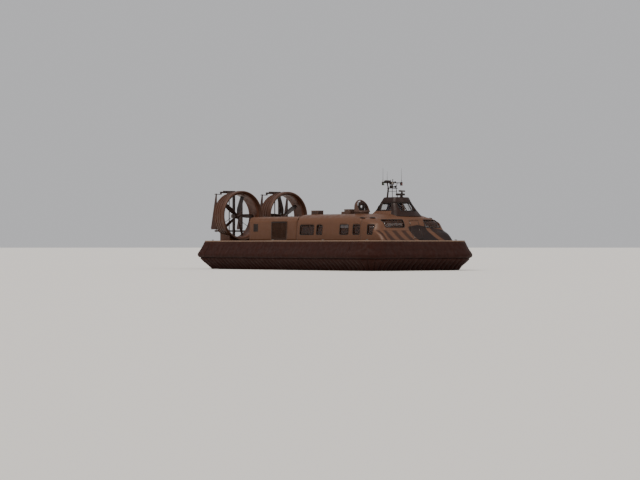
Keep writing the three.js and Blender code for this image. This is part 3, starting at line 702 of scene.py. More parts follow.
def livery(f):
    """Plain dark bands round the nose. Their place g is the distance along the skin from the bow's
    middle, leaned with height and curved by a sine: a broad band, a dark corner, and a row of
    leaning bars low on the starboard side."""
    s, z = f.pattern()
    lean = f.times(f.math("SUBTRACT", z, 2.95), 0.62)
    curl = f.times(f.math("SINE", f.times(z, 2.6)), 0.16)
    g = f.math("ADD", f.math("ADD", s, lean), curl)
    fall = f.times(f.math("ABSOLUTE", f.math("SUBTRACT", g, 0.7)), 0.15)
    below = f.span(f.math("SUBTRACT", z, f.math("SUBTRACT", 3.78, fall)), -0.02, 0.02, 1.0, 0.0)
    broad = f.times(f.span(g, -0.30, -0.27), f.span(g, 1.50, 1.53, 1.0, 0.0))
    corner = f.times(f.span(g, 1.98, 2.01), f.span(g, 4.9, 4.95, 1.0, 0.0))
    dark = f.times(f.math("MAXIMUM", broad, corner), below)
    bars = f.times(f.near(g, 0.84, 0.29, 0.02), f.span(g, -0.62, -0.66))
    bars = f.times(bars, f.span(g, -3.75, -3.7))
    bars = f.times(bars, f.span(z, 3.30, 3.34, 1.0, 0.0))
    return f.pick(dark, f.stain(f.color, bars, 0.8, "#240f08"), tone("#1c0a05"))


def painted(name, color, panel=1.22, bands=False, grimy=1.0):
    """Marine paint over riveted plate: panel joints, soft grime, runs below the edges."""
    f = Finish(name, color, 0.42, coat_weight=0.04, coat_roughness=0.3, specular_ior_level=0.24)
    base = livery(f) if bands else f.color
    cloud = f.span(f.noise(0.9, 5), 0.42, 0.68)
    grime = f.stain(base, cloud, 0.16 * grimy, "#4e3424")
    run = f.span(f.noise(3.2, 4, stretch=(1.0, 1.0, 0.09)), 0.56, 0.76)
    foot = f.span(f.z, 2.45, 3.3, 1.0, 0.25)
    grime = f.stain(grime, f.times(run, foot), 0.26 * grimy, "#362216")
    joint = f.math("MAXIMUM", f.near(f.x, panel, 0.0055, 0.31), f.near(f.z, 1.31, 0.0055, 0.62))
    f.lift(joint, -0.004)
    f.lift(f.noise(38.0, 2), 0.0006)
    f.lift(f.noise(1.4, 2), 0.012)
    return f.done(f.stain(grime, joint, 0.55, "#2a1c14"), f.span(f.noise(2.1, 4), 0.3, 0.75, 0.34, 0.58))


def worn(name, color, rough, metal, patches, stain, grain, shine):
    """A plain finish with stained patches, a fine grain and an uneven shine. Patches have a scale,
    detail and the noise's range, a stain an amount and a colour, a grain a scale, detail and
    height, and a shine a scale, detail and how much less and more rough it gets."""
    f = Finish(name, color, rough, metal)
    patch_scale, patch_detail, low, high = patches
    grain_scale, grain_detail, height = grain
    shine_scale, shine_detail, less, more = shine
    patch = f.span(f.noise(patch_scale, patch_detail), low, high)
    f.lift(f.noise(grain_scale, grain_detail), height)
    roughness = f.span(f.noise(shine_scale, shine_detail), 0.3, 0.7, rough - less, rough + more)
    return f.done(f.stain(f.color, patch, *stain), roughness)


def plain_paint(name, color, rough=0.45, metal=0.0):
    """Paint on small fittings, a little faded and scuffed."""
    return worn(
        name, color, rough, metal, patches=(5.0, 6, 0.5, 0.74), stain=(0.22, "#4e3626"),
        grain=(55.0, 3, 0.0007), shine=(6.0, 4, 0.08, 0.14),
    )


def deck_metal(name):
    """Dull brown deck: a gritty non-slip coat on top, bare painted plate on the sides."""
    f = Finish(name, "#4a3626", 0.62, 0.15)
    grit = f.noise(170.0, 2)
    top = f.span(f.z, DECK - 0.008, DECK - 0.002)
    coat = f.stain(tone("#3c2d22"), f.span(f.noise(0.7, 6), 0.46, 0.7), 0.4, "#54402f")
    plate = f.stain(tone("#4a3c31"), f.span(f.noise(2.4, 5), 0.45, 0.7), 0.4, "#33281f")
    joint = f.math("MAXIMUM", f.near(f.x, 2.4, 0.008, 0.4), f.near(f.y, 1.73, 0.008, 0.86))
    color = f.stain(f.pick(top, plate, coat), joint, 0.5, "#25211e")
    f.lift(f.times(grit, top), 0.0025)
    f.lift(joint, -0.003)
    return f.done(color, f.span(grit, 0.3, 0.7, 0.55, 0.8))


def skirt_cloth(name, fingers):
    """Dark rubber-coated cloth: fine pebble, lap joints, pale salt and dust where it rubs."""
    f = Finish(name, "#2a0e06", 0.8, sheen_weight=0.02, sheen_roughness=0.5, specular_ior_level=0.18)
    s, t = f.pattern()
    color = f.stain(f.color, f.span(f.noise(1.6, 7), 0.42, 0.7), 0.35, "#34150b")
    run = f.span(f.noise(4.5, 5, stretch=(1.0, 1.0, 0.16)), 0.54, 0.78)
    color = f.stain(color, run, 0.32, "#421e10")
    if fingers:
        color = f.stain(color, f.span(t, 0.86, 1.0), 0.45, "#442414")
        f.lift(f.math("MAXIMUM", f.near(s, 1.0, 0.07), f.near(t, 1.0, 0.045)), 0.004)
    else:
        strip = f.math("MAXIMUM", f.near(s, BAG_LAP, 0.045), f.near(t, 0.9, 0.035, 0.12))
        color = f.stain(color, strip, 0.35, "#1a0803")
        f.lift(strip, 0.005)
        color = f.stain(color, f.span(t, 0.0, 0.35, 1.0, 0.0), 0.22, "#3c2416")
    f.lift(f.noise(90.0, 3), 0.0016)
    f.lift(f.noise(7.0, 3), 0.006)
    return f.done(color, f.span(f.noise(3.0, 4), 0.3, 0.7, 0.62, 0.86))


def rail_finish(name):
    """Pale rubber fender with bolts through it and a butt joint every few metres."""
    f = Finish(name, "#7c6250", 0.55)
    s, t = f.pattern()
    bolt_pitch = 0.3
    scuff = f.span(f.noise(3.5, 7, stretch=(1.0, 1.0, 3.0)), 0.5, 0.7)
    color = f.stain(f.color, scuff, 0.4, "#553f31")
    share = f.math("FRACT", f.math("DIVIDE", s, bolt_pitch))
    along = f.times(f.math("ABSOLUTE", f.math("SUBTRACT", share, 0.5)), bolt_pitch)
    up = f.math("SUBTRACT", t, 0.5)
    squares = [f.times(along, along), f.times(up, f.times(up, 0.02))]
    bolt = f.span(f.math("SQRT", f.math("ADD", *squares)), 0.012, 0.016, 1.0, 0.0)
    joint = f.near(s, 2.4, 0.008)
    color = f.stain(f.stain(color, bolt, 0.8, "#332c27"), joint, 0.8, "#1c1713")
    f.lift(bolt, 0.003)
    f.lift(joint, -0.004)
    return f.done(color, f.span(scuff, 0.0, 1.0, 0.5, 0.72))


def tinted_glass(name, cover=0.5):
    """Smoked glazing with faint patches of dust."""
    f = Finish(name, "#3a2216", 0.05, alpha=cover, ior=1.5)
    dust = f.span(f.noise(2.0, 5), 0.45, 0.75)
    return f.done(f.stain(f.color, dust, 0.12, "#6a5544"), f.span(dust, 0.0, 1.0, 0.04, 0.14))


def bare_metal(name, color, rough, metal=0.85):
    """Brushed or cast metal with dull patches."""
    return worn(
        name, color, rough, metal, patches=(4.0, 6, 0.42, 0.72), stain=(0.35, "#4a382b"),
        grain=(120.0, 2, 0.0005), shine=(9.0, 5, 0.1, 0.18),
    )


def moulded(name, color, rough):
    """Moulded plastic or rubber with a fine grain."""
    return worn(
        name, color, rough, 0.0, patches=(6.0, 5, 0.45, 0.75), stain=(0.25, "#483528"),
        grain=(140.0, 2, 0.0008), shine=(11.0, 3, 0.1, 0.12),
    )


def seat_cloth(name):
    """Woven seat cloth: two crossing sets of threads and a faint fleck."""
    f = Finish(name, "#34405a", 0.88, sheen_weight=0.35, sheen_roughness=0.6)
    threads = 900.0
    warp = f.math("SINE", f.times(f.y, threads))
    weft = f.math("SINE", f.times(f.math("ADD", f.x, f.z), threads))
    weave = f.times(warp, weft)
    out = f.stain(f.color, f.span(f.noise(60.0, 2), 0.55, 0.7), 0.35, "#6f7890")
    f.lift(weave, 0.0006)
    return f.done(f.pick(f.span(weave, -0.2, 1.0, 0.0, 0.3), out, tone("#232b3f")))


def lamp_glass(name, color):
    """A moulded lens with fine ribs, and a painted highlight along each rib's crest."""
    f = Finish(name, color, 0.12, coat_weight=0.6)
    rib = f.math("SINE", f.times(f.z, 700.0))
    f.lift(rib, 0.0006)
    # painted highlight: up to a fifth near-white on each rib's crest
    return f.done(f.pick(f.span(rib, -1.0, 1.0, 0.0, 0.2), f.color, tone("#f2efe8")))


def stage_floor(name):
    """Plain pale floor with the faintest mottle."""
    f = Finish(name, "#efece7", 0.85)
    return f.done(f.stain(f.color, f.noise(0.05, 3), 0.08, "#dfdbd5"))


def set_finish(node, finish):
    """Gives a kept CAD node a finish in every slot it has."""
    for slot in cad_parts[node].material_slots:
        slot.material = finish


paint = painted("superstructure_paint", "#5f3f2c")
banded = painted("banded_paint", "#5f3f2c", bands=True)
dark_paint = painted("dark_paint", "#220d06", grimy=0.3)
duct_paint = painted("duct_paint", "#4a2c1c", panel=0.5)
# painted light: the duct's inside gets a lighter copy of the duct's paint, standing in for light falling on
# the inner wall
duct_inside_painted_light = painted("duct_inside_painted_light", "#6a4230", panel=0.5)
rudder_paint = painted("rudder_paint", "#371d12", panel=0.5)
fitting_paint = plain_paint("fitting_paint", "#482d1e")
grey_paint = plain_paint("grey_frame_paint", "#321d14", 0.5, 0.1)
deck_finish = deck_metal("deck_metal")
bag_cloth = skirt_cloth("skirt_bag_cloth", fingers=False)
finger_cloth = skirt_cloth("skirt_finger_cloth", fingers=True)
rail_rubber = rail_finish("rub_rail_rubber")
glass = tinted_glass("smoked_glass")
clear_glass = tinted_glass("clear_glass", 0.13)
steel = bare_metal("steel", "#8d8780", 0.32)
dark_steel = bare_metal("dark_steel", "#3a2a21", 0.5, 0.6)
engine_iron = bare_metal("engine_iron", "#5b554f", 0.55, 0.5)
rubber = moulded("seal_rubber", "#1b120f", 0.62)
black_plastic = moulded("black_plastic", "#241712", 0.5)
moulded_grey = moulded("grey_plastic", "#2c1f19", 0.45)
black_metal = bare_metal("black_metal", "#20130e", 0.45, 0.35)
fitting_dark = plain_paint("spinner_paint", "#3a261c", 0.4)
steel_lip = plain_paint("lip_paint", "#4e3020", 0.4, 0.3)
composite = moulded("blade_composite", "#2b1a13", 0.4)
cloth = seat_cloth("seat_cloth")
red_lens = lamp_glass("red_lens", "#6b1010")
green_lens = lamp_glass("green_lens", "#0f4a2a")
white_lens = lamp_glass("white_lens", "#8f877a")


# Raft, rub rail and skirt

DECK_REAR, DECK_FRONT, DECK_HALF = -10.95, 11.43, 5.68
REAR_ROUND, FORE_ROUND = 0.3, 1.6


def edge_marks():
    """Distances along the deck's edge where its straights and quarter circles meet, from the
    stern's middle round by starboard, the bow and port."""
    rear, fore = math.pi / 2 * REAR_ROUND, math.pi / 2 * FORE_ROUND
    side = DECK_FRONT - DECK_REAR - REAR_ROUND - FORE_ROUND
    stern, bow = DECK_HALF - REAR_ROUND, 2 * (DECK_HALF - FORE_ROUND)
    return np.cumsum(np.round([0, stern, rear, side, fore, bow, fore, side, rear, stern], 4))


EDGE_MARKS = edge_marks()
ROUND = EDGE_MARKS[-1]


def deck_edge(s, out):
    """The raft's plan outline moved outboard by `out`: straight sides and quarter circles, at a
    distance s along it from the stern's middle by starboard, the bow and port."""
    s, out = np.broadcast_arrays(np.asarray(s, float), np.asarray(out, float))
    s = s % ROUND
    k = np.clip(np.searchsorted(EDGE_MARKS, s, side="right") - 1, 0, 8)
    f = (s - EDGE_MARKS[k]) / (EDGE_MARKS[k + 1] - EDGE_MARKS[k])
    rear, front, half = DECK_REAR - out, DECK_FRONT + out, DECK_HALF + out
    rr, fr = np.maximum(0.15, REAR_ROUND + out), FORE_ROUND + out
    sine, cosine = np.sin(f * np.pi / 2), np.cos(f * np.pi / 2)
    x0, x1, y0, y1 = rear + rr, front - fr, half - rr, half - fr
    x = np.choose(k, [
        rear, x0 - rr * cosine, x0 + (x1 - x0) * f, x1 + fr * sine, front,
        x1 + fr * cosine, x1 + (x0 - x1) * f, x0 - rr * sine, rear,
    ])
    y = np.choose(k, [
        -y0 * f, -y0 - rr * sine, -half, -y1 - fr * cosine, y1 * (2 * f - 1),
        y1 + fr * sine, half, y0 + rr * cosine, y0 * (1 - f),
    ])
    return x, y


# The skirt's parts meet on the straight sides, a little way from the corners
FORE = EDGE_MARKS[2] + 19.95
AFT = EDGE_MARKS[2] + 0.75
# name, start and end along the deck's edge, number of fingers
skirt_runs = [
    ("bow", FORE, ROUND - FORE, 27),
    ("stern", -AFT, AFT, 25),
    ("starboard", AFT, FORE, 36),
    ("port", ROUND - FORE, ROUND - AFT, 36),
]


def rub_rail():
    """A D section carried round the deck's edge."""
    section = np.array([  # out from the deck's edge, height
        (0.001, 2.396), (0.045, 2.399), (0.062, 2.412), (0.069, 2.43), (0.07, 2.4475),
        (0.069, 2.465), (0.062, 2.483), (0.045, 2.496), (0.001, 2.499),
    ])
    around, up = 900, len(section)
    s = np.linspace(0, ROUND, around, endpoint=False)[:, None]
    x, y = deck_edge(s, section[None, :, 0])
    z = np.broadcast_to(section[:, 1], x.shape)
    pattern = np.stack(np.broadcast_arrays(s, np.linspace(0, 1, up)[None, :]), axis=-1)
    return Shape(np.stack([x, y, z], -1), grid_faces(around, up, True, True), pattern).outward()


bag_section = [  # out from the deck's edge, height
    (0.02, 2.392), (0.075, 2.375), (0.15, 2.24), (0.25, 2.04), (0.35, 1.87), (0.45, 1.70),
    (0.56, 1.55), (0.65, 1.41), (0.695, 1.28), (0.65, 1.125), (0.545, 1.045), (0.40, 1.005),
    (0.23, 0.975), (0.02, 0.945), (-0.22, 0.93), (-0.46, 0.915), (-0.72, 0.908), (-0.98, 0.905),
]


def ripple(s, t, waves, size):
    """A sum of slow sine waves over a sheet, with seeded lengths and phases."""
    total = np.zeros(np.broadcast(s, t).shape)
    for _ in range(waves):
        along, down, phase = chance.uniform(0.8, 4.2), chance.uniform(-3.0, 3.0), chance.uniform(0, 6.3)
        total += np.sin(along * s + down * t + phase)
    return size * total / math.sqrt(waves)


def skirt_bag(s0, s1):
    """The bag's section carried along the deck's edge. Its cloth is drawn in at each lap joint by
    a narrow bell curve, swells between them by a cosine, and is creased by a sine where it hangs
    from the rail. All of this but the creases fades out toward the section's two held ends."""
    step, half_lap, crease_pitch = 0.085, BAG_LAP / 2, BAG_LAP / 4
    tuck, tuck_width, swelling, set_in = 0.020, 0.10, 0.008, 0.012
    crease, crease_at, top_fade, foot_fade = 0.007, 0.22, 0.5, 0.6
    around = int((s1 - s0) / step)
    s = np.linspace(s0, s1, around)[:, None]
    section = flowing(bag_section, np.linspace(0, len(bag_section) - 1, 60))
    out, z = section[:, 0][None, :], section[:, 1][None, :]
    length = lengths(section)[None, :]
    slope = unit(np.gradient(section, axis=0))
    way_out, way_up = -slope[:, 1][None, :], slope[:, 0][None, :]
    seam = np.abs((s + half_lap) % BAG_LAP - half_lap)
    free = np.clip(length / top_fade, 0, 1) * np.clip((length[0, -1] - length) / foot_fade, 0, 1)
    swell = -tuck * np.exp(-((seam / tuck_width) ** 2)) + swelling * np.cos(seam * np.pi / half_lap)
    near_rail = np.exp(-((length - crease_at) / crease_at) ** 2)
    hang = crease * np.sin(s * 2 * np.pi / crease_pitch) * near_rail
    push = (swell - set_in) * free + hang + ripple(s, length, 7, 0.006) * free
    x, y = deck_edge(s, out + push * way_out)
    points = np.stack([x, y, np.broadcast_to(z + push * way_up, x.shape)], axis=-1)
    pattern = np.stack(np.broadcast_arrays(s, length), axis=-1)
    return Shape(points, grid_faces(around, len(section)), pattern)


finger_section = [  # out from the deck's edge, height
    (0.415, 1.0), (0.40, 0.93), (0.28, 0.81), (0.13, 0.69), (-0.06, 0.545), (-0.25, 0.40),
    (-0.38, 0.25), (-0.48, 0.12), (-0.555, 0.012),
]


def skirt_fingers(s0, s1, count):
    """Separate U-shaped fingers. Across each one, cloth comes out along a side wall, bows over
    the front and goes back, and down its length it follows the finger's section. Each has its own
    seeded size, lean and lifted hem."""
    pitch, filled, wall = (s1 - s0) / count, 0.965, [1, 0.7, 0.4, 0.12]
    inner_top, inner_foot, inner_out, inner_lean = 0.96, 0.02, -0.64, 0.05
    front, down = np.linspace(0, 1, 11), np.linspace(0, 1, 11)
    edge = np.zeros(len(wall))
    share = np.concatenate([edge, front, edge + 1])
    back = np.concatenate([wall, np.zeros(front.size), wall[::-1]])
    bow = np.concatenate([edge, np.sin(front * np.pi) ** 0.62, edge])
    section = flowing(finger_section, down * (len(finger_section) - 1))
    inner_z = np.interp(down, [0, 1], [inner_top, inner_foot])
    k = np.arange(count)[:, None, None]
    size = chance.uniform(0.85, 1.1, (count, 1, 1))
    lean = chance.uniform(-0.03, 0.03, (count, 1, 1))
    hem = chance.uniform(0.0, 0.022, (count, 1, 1))
    c, m, b = (v[None, :, None] for v in (share, back, bow))
    t = down[None, None, :]
    swell = size * b * (0.05 + 0.10 * t) * np.sin(np.pi * (0.2 + 0.8 * t) * 0.62)
    out = section[:, 0][None, None, :] * (1 - m) + m * (inner_out - inner_lean * t) + swell * 0.8
    z = section[:, 1][None, None, :] * (1 - m) + m * inner_z[None, None, :] - swell * 0.45 * (1 - t)
    z = z + hem * t**4
    s = s0 + pitch * (k + 0.5 + (c - 0.5) * filled + lean * t * np.sin(np.pi * c))
    s, out, z, c_all, t_all = np.broadcast_arrays(s, out, z, c + k, t)
    x, y = deck_edge(s, out)
    points = np.stack([x, y, z], axis=-1)
    pattern = np.stack([c_all, t_all], axis=-1)
    columns, rows = share.size, down.size
    one = grid_faces(columns, rows)
    faces = (one[None] + (np.arange(count) * columns * rows)[:, None, None]).reshape(-1, 4)
    return Shape(points, faces, pattern)


def make_skirt():
    """Bags, fingers, rub rail and clamp strip: sections carried along the deck's edge."""
    cloth_wall, strip_out, strip_height = 0.008, 0.082, 2.352
    for name, s0, s1, count in skirt_runs:
        put(f"bag_cloth_{name}", [(skirt_bag(s0, s1), bag_cloth)],
            stands_for=f"skirt_bag_{name}", crease=60, wall=cloth_wall)
        put(f"finger_cloth_{name}", [(skirt_fingers(s0, s1, count), finger_cloth)],
            stands_for=f"skirt_fingers_{name}", crease=80, wall=cloth_wall)
    put("rub_rail_fender", [(rub_rail(), rail_rubber)], stands_for="rub_rail")
    s = np.linspace(0, ROUND, 600, endpoint=False)
    path, outer = (
        np.stack([*deck_edge(s, out), np.full(s.shape, strip_height)], axis=1) for out in (strip_out, 1.0)
    )
    strip = sweep(path, outer - path, round_rectangle(0.012, 0.05, 0.004, 3), closed=True)
    put("skirt_clamp_strip", [(strip, dark_steel)])


# Cabin, engine bay and control cabin skins

# Each level's height, rear, front, half width, front corners' radius and bulge
cabin = Skin([
    (2.46, -0.2, 11.20, 3.95, 0.45, 0.00),
    (3.04, -0.2, 10.76, 3.93, 0.65, 0.12),
    (3.37, -0.2, 10.24, 3.90, 0.80, 0.41),
    (3.92, -0.2, 10.04, 3.85, 1.15, 0.46),
    (4.09, -0.2, 9.81, 3.82, 1.35, 0.59),
    (4.29, -0.2, 9.44, 3.74, 1.65, 0.89),
    (4.45, -0.2, 8.66, 3.60, 1.95, 1.54),
    (4.63, -0.2, 7.80, 3.25, 1.90, 2.10),
    (4.72, -0.2, 7.20, 2.70, 1.50, 2.30),
], 0.06)
bay_levels = [  # height, half width
    (2.46, 3.880), (2.88, 3.865), (3.30, 3.850), (3.72, 3.835), (4.15, 3.820), (4.40, 3.720),
    (4.545, 3.460),
]
bay = Skin([(z, -6.9, -0.205, half, 0.06, 0) for z, half in bay_levels], 0.2)
control = Skin([
    (4.30, 6.42, 9.95, 1.64, 0.26, 0.42),
    (4.72, 6.74, 9.69, 1.42, 0.26, 0.365),
    (5.00, 7.00, 9.51, 1.265, 0.26, 0.33),
    (5.62, 7.33, 9.11, 1.03, 0.26, 0.24),
    (6.02, 7.54, 9.00, 0.88, 0.26, 0.20),
    (6.075, 7.575, 8.965, 0.845, 0.24, 0.19),
    (6.10, 7.62, 8.92, 0.80, 0.22, 0.18),
], 0.12, smooth=False)

CABIN_WALL, BAY_WALL, CONTROL_WALL, PANE = 0.06, 0.05, 0.045, 0.008
WINDOW_FOOT, WINDOW_HEAD = 2.98, 3.80
NOSE_SPLIT = 8.2  # where the side walls end and the nose begins
ROOF_LEVEL = 6  # the cabin skin's level where its roof begins


def lid(skin, a, spacing, holes):
    """The flat top of a skin: a narrow margin inside its last outline, and the rest filled in."""
    margin = 0.03
    rim = skin.point(a, float(skin.top))
    low, high = rim.min(axis=0), rim.max(axis=0)
    middle, half = (low + high) / 2, (high - low)[:2] / 2
    inner = rim.copy()
    inner[:, :2] = middle[:2] + (rim[:, :2] - middle[:2]) * (1 - margin / half)
    edge = Shape(np.stack([rim, inner], axis=1), grid_faces(len(rim), 2, True)[:, ::-1])
    flat, faces = cut_sheet(inner[:, :2], holes, spacing)
    return joined([edge, Shape(np.column_stack([flat, np.full(len(flat), rim[0, 2])]), faces)])


def roof_shape(skin, low, rows, spacing, holes=()):
    """A skin's upper levels and its flat top."""
    around = 401
    band = skin.band(0, 10, low, skin.top, around, rows)
    return joined([band, lid(skin, np.linspace(0, 10, around)[:-1], spacing, holes)]).welded()


def window_set(skin, loops, glass_height=-0.045, grow=0.022):
    """Rubber seals round the window loops, and panes a little larger than the holes behind."""
    seals = [skin.trim(loop, SEAL) for loop in loops]
    panes = [skin.sheet(skin.grown(loop, grow), spacing=0.2, height=glass_height) for loop in loops]
    return seals, panes


def put_windows(kind, name, loops):
    """The seals and panes of a set of cabin windows."""
    seals, panes = window_set(cabin, loops)
    put(f"{kind}_window_seals_{name}", [(seals, rubber)])
    put(f"{kind}_panes_{name}", [(panes, glass)],
        stands_for=f"{kind}_glazing_{name}", wall=PANE)


def nose_split():
    """Places up the port side where the side wall meets the nose, from the deck to the roof."""
    levels = np.linspace(0, ROOF_LEVEL, 40)
    return cabin.by_x(NOSE_SPLIT, cabin.point(np.full(levels.shape, MID_SIDE), levels)[:, 2])


def cabin_side_border(side):
    """The side wall's border: along the deck, up the split from the nose, back under the roof."""
    split = nose_split()
    border = np.concatenate([
        edge_line((1.0, 0), tuple(split[0]), 90),
        split[:-1],
        edge_line(tuple(split[-1]), (1.0, ROOF_LEVEL), 90),
        edge_line((1.0, ROOF_LEVEL), (1.0, 0), 30),
    ])
    return border if side > 0 else other_side(border)[::-1]


def side_loops(side, spans, skin=cabin):
    """Loops of side windows, whose spans give their ends, heights and corner radius."""
    loops = [window_loop(*span) for span in spans]
    return [skin.by_x(loop[:, 0], loop[:, 1], side) for loop in loops]


HINGE = np.array([11.19, -0.524, 2.53])  # a point on the door's hinge line
HINGE_LEAN = -0.483  # metres aft for each metre up, so negative


def hinge_at(z):
    """The point of the hinge line at a height."""
    return np.array([HINGE[0] + HINGE_LEAN * (z - HINGE[2]), HINGE[1], z])


def door_edge(z_hinge, y):
    """Height where the plane square to the hinge line through a height on it meets the skin."""
    x_hinge = hinge_at(z_hinge)[0]
    z = np.full(np.shape(y), float(z_hinge))
    for _ in range(12):
        aw = cabin.by_y(y, z)
        x = cabin.point(aw[:, 0], aw[:, 1])[:, 0]
        z = z_hinge - HINGE_LEAN * (x - x_hinge)
    return z


def door_loop(half, low, high):
    """The door's outline on the skin: level runs below and above, upright runs at the sides."""
    y = np.linspace(-half, half, 24)
    foot, head = door_edge(low, y), door_edge(high, y)
    right = np.linspace(foot[-1], head[-1], 36)[1:-1]
    left = np.linspace(head[0], foot[0], 36)[1:-1]
    ys = np.concatenate([y, np.full(34, half), y[::-1], np.full(34, -half)])
    zs = np.concatenate([foot, right, head[::-1], left])
    return cabin.by_y(ys, zs)


def make_cabin():
    """Side walls, nose and roof cut from the cabin's skin, and their windows."""
    corner = 0.09
    spans = ((7.20, 8.08), (5.52, 6.63), (2.49, 3.23), (0.28, 2.10))
    windows = [(x0, x1, WINDOW_FOOT, WINDOW_HEAD, corner) for x0, x1 in spans]
    for name, side in sides:
        loops = side_loops(side, windows)
        put(f"cabin_skin_{name}", [(cabin.sheet(cabin_side_border(side), loops), banded)],
            stands_for=f"cabin_side_{name}", wall=CABIN_WALL)
        put_windows("side", name, loops)

    port = nose_split()
    starboard = other_side(port)
    border = np.concatenate([
        edge_line(tuple(port[0]), tuple(starboard[0]), 160),
        starboard[:-1],
        edge_line(tuple(starboard[-1]), tuple(port[-1]), 160),
        port[:0:-1],
    ])
    front_loops = {}
    for name, side in sides:
        y = sorted([side * 1.12, side * 3.05])
        loop = window_loop(y[0], y[1], 3.57, 4.22, 0.12)
        front_loops[name] = side_loops(side, [(9.03, 9.70, WINDOW_FOOT, WINDOW_HEAD, corner)])
        front_loops[name].append(cabin.by_y(loop[:, 0], loop[:, 1]))
    holes = [door_loop(0.528, 2.602, 4.168)] + front_loops["port"] + front_loops["starboard"]
    put("cabin_nose_skin", [(cabin.sheet(border, holes, 0.12), banded)],
        stands_for="cabin_front", wall=CABIN_WALL)
    for name, _ in sides:
        put_windows("front", name, front_loops[name])

    hatch = evenly([(8.0, -0.35), (8.9, -0.35), (8.9, 0.35), (8.0, 0.35)], 0.1)
    put("cabin_roof_skin", [(roof_shape(cabin, ROOF_LEVEL, 25, 0.3, [hatch]), paint)],
        stands_for="cabin_roof", wall=CABIN_WALL)
    make_bow_door()


def knuckle(z, reach):
    """One hinge barrel on the raked line, with an arm back to what it is fixed to."""
    middle = hinge_at(z + 0.025)
    return [
        rod(hinge_at(z + 0.001), hinge_at(z + 0.049), 0.021),
        rod(middle, middle + [-0.062, reach, 0], 0.011),
    ]


def make_bow_door():
    """The door cut from the skin, with its stiffener and grip, and its raked hinges."""
    loop = door_loop(0.52, 2.61, 4.16)
    put("bow_door_panel", [(cabin.sheet(loop, spacing=0.1), banded)], body="door",
        stands_for="bow_door", wall=CABIN_WALL)
    stiffener = cabin.trim(cabin.grown(loop, -0.06), round_rectangle(0.016, 0.03, 0.006, 3))
    a, w = cabin.by_y(np.array([0.4, 0.4]), np.array([3.3, 3.42])).T
    foot, out = cabin.point(a, w), cabin.normal(a, w)
    grip = [rod(foot[k], foot[k] + 0.05 * out[k], 0.009) for k in (0, 1)]
    grip.append(rod(foot[0] + 0.045 * out[0], foot[1] + 0.045 * out[1], 0.01))
    barrels = [s for z in (2.73, 3.93) for s in knuckle(z, 0.04)]
    put("bow_door_fittings", [(stiffener, rubber), (grip + barrels, steel)], body="door")
    fixed = [s for z in (2.68, 3.88) for s in knuckle(z, -0.04)]
    put("bow_door_hinges", [(fixed, steel)])


def louvre_panel(side):
    """A frame with a row of sloped blades in it."""
    x0, x1, z0, z1, y = -3.695, -1.605, 2.565, 4.115, side * 3.83
    bar, inset = 0.07, 0.035
    left, right, low, high = x0 + inset, x1 - inset, z0 + inset, z1 - inset
    corners = [(left, y, low), (right, y, low), (right, y, high), (left, y, high)]
    bars = [strut(corners[k], corners[(k + 1) % 4], bar, bar, (0, 1, 0), 0.012) for k in range(4)]
    section = round_rectangle(0.085, 0.008, 0.004, 3)
    turn = math.radians(38)
    out = (0, side * math.cos(turn), -math.sin(turn))
    heights = np.linspace(z0 + 0.12, z1 - 0.12, 15)
    blades = [sweep([(x0 + 0.06, y, z), (x1 - 0.06, y, z)], out, section) for z in heights]
    back = y - side * 0.028
    for x in np.linspace(x0, x1, 4)[1:-1]:
        blades.append(strut((x, back, z0 + 0.06), (x, back, z1 - 0.06), 0.02, 0.03, (0, 1, 0)))
    return bars, blades


def vent_slots(x0, x1, z0, z1, side):
    """A small dark vent on the bay's side: a rim, a dark sheet inside it that is painted shade for its
    opening, and short blades.
    """
    loop = window_loop(x0, x1, z0, z1, 0.04, 0.03)
    places = bay.by_x(loop[:, 0], loop[:, 1], side)
    rim = bay.trim(places, round_rectangle(0.02, 0.035, 0.006, 3), 0.002)
    # painted shade: a dark sheet inside the rim, standing for the shade in the vent's opening
    painted_shade_sheet = bay.sheet(places, spacing=0.12, height=0.003)
    blades = []
    for z in np.linspace(z0 + 0.06, z1 - 0.06, 7):
        aw = bay.by_x(np.array([x0 + 0.03, x1 - 0.03]), np.array([z, z]), side)
        path = bay.point(aw[:, 0], aw[:, 1]) + [0, side * 0.008, 0]
        blades.append(sweep(path, (0, side * 0.8, -0.6), round_rectangle(0.045, 0.008, 0.003, 3)))
    return rim, painted_shade_sheet, blades


def make_bay():
    """Walls and roof cut from the bay's skin, with grilles, vents and hatches."""
    split = float(bay.w_of(4.3))
    grille_loop = evenly([(-3.7, 2.56), (-1.6, 2.56), (-1.6, 4.12), (-3.7, 4.12)], 0.08)
    walls = []
    for _, side in sides:
        border = patch(0.0, 4.0, 0, split, 260, 30)
        if side < 0:
            border = other_side(border)[::-1]
        walls.append(bay.sheet(border, [bay.by_x(grille_loop[:, 0], grille_loop[:, 1], side)], 0.2))
    put("bay_wall_skin", [(walls, paint)], stands_for="engine_bay_walls", wall=BAY_WALL)
    put("bay_roof_skin", [(roof_shape(bay, split, 17, 0.35), paint)],
        stands_for="engine_bay_roof", wall=BAY_WALL)
    for name, side in sides:
        bars, blades = louvre_panel(side)
        put(f"bay_louvre_{name}", [(bars, black_plastic), (blades, fitting_paint)],
            stands_for=f"bay_grille_{name}")
        rim, painted_shade_sheet, slots = vent_slots(-6.2, -5.6, 3.29, 3.94, side)
        # the dark sheet is painted shade for the vent's opening
        put(f"bay_side_vent_{name}", [(rim, grey_paint), (painted_shade_sheet, rubber), (slots, dark_steel)])
        put(f"engine_hatches_{name}", engine_hatches(side))


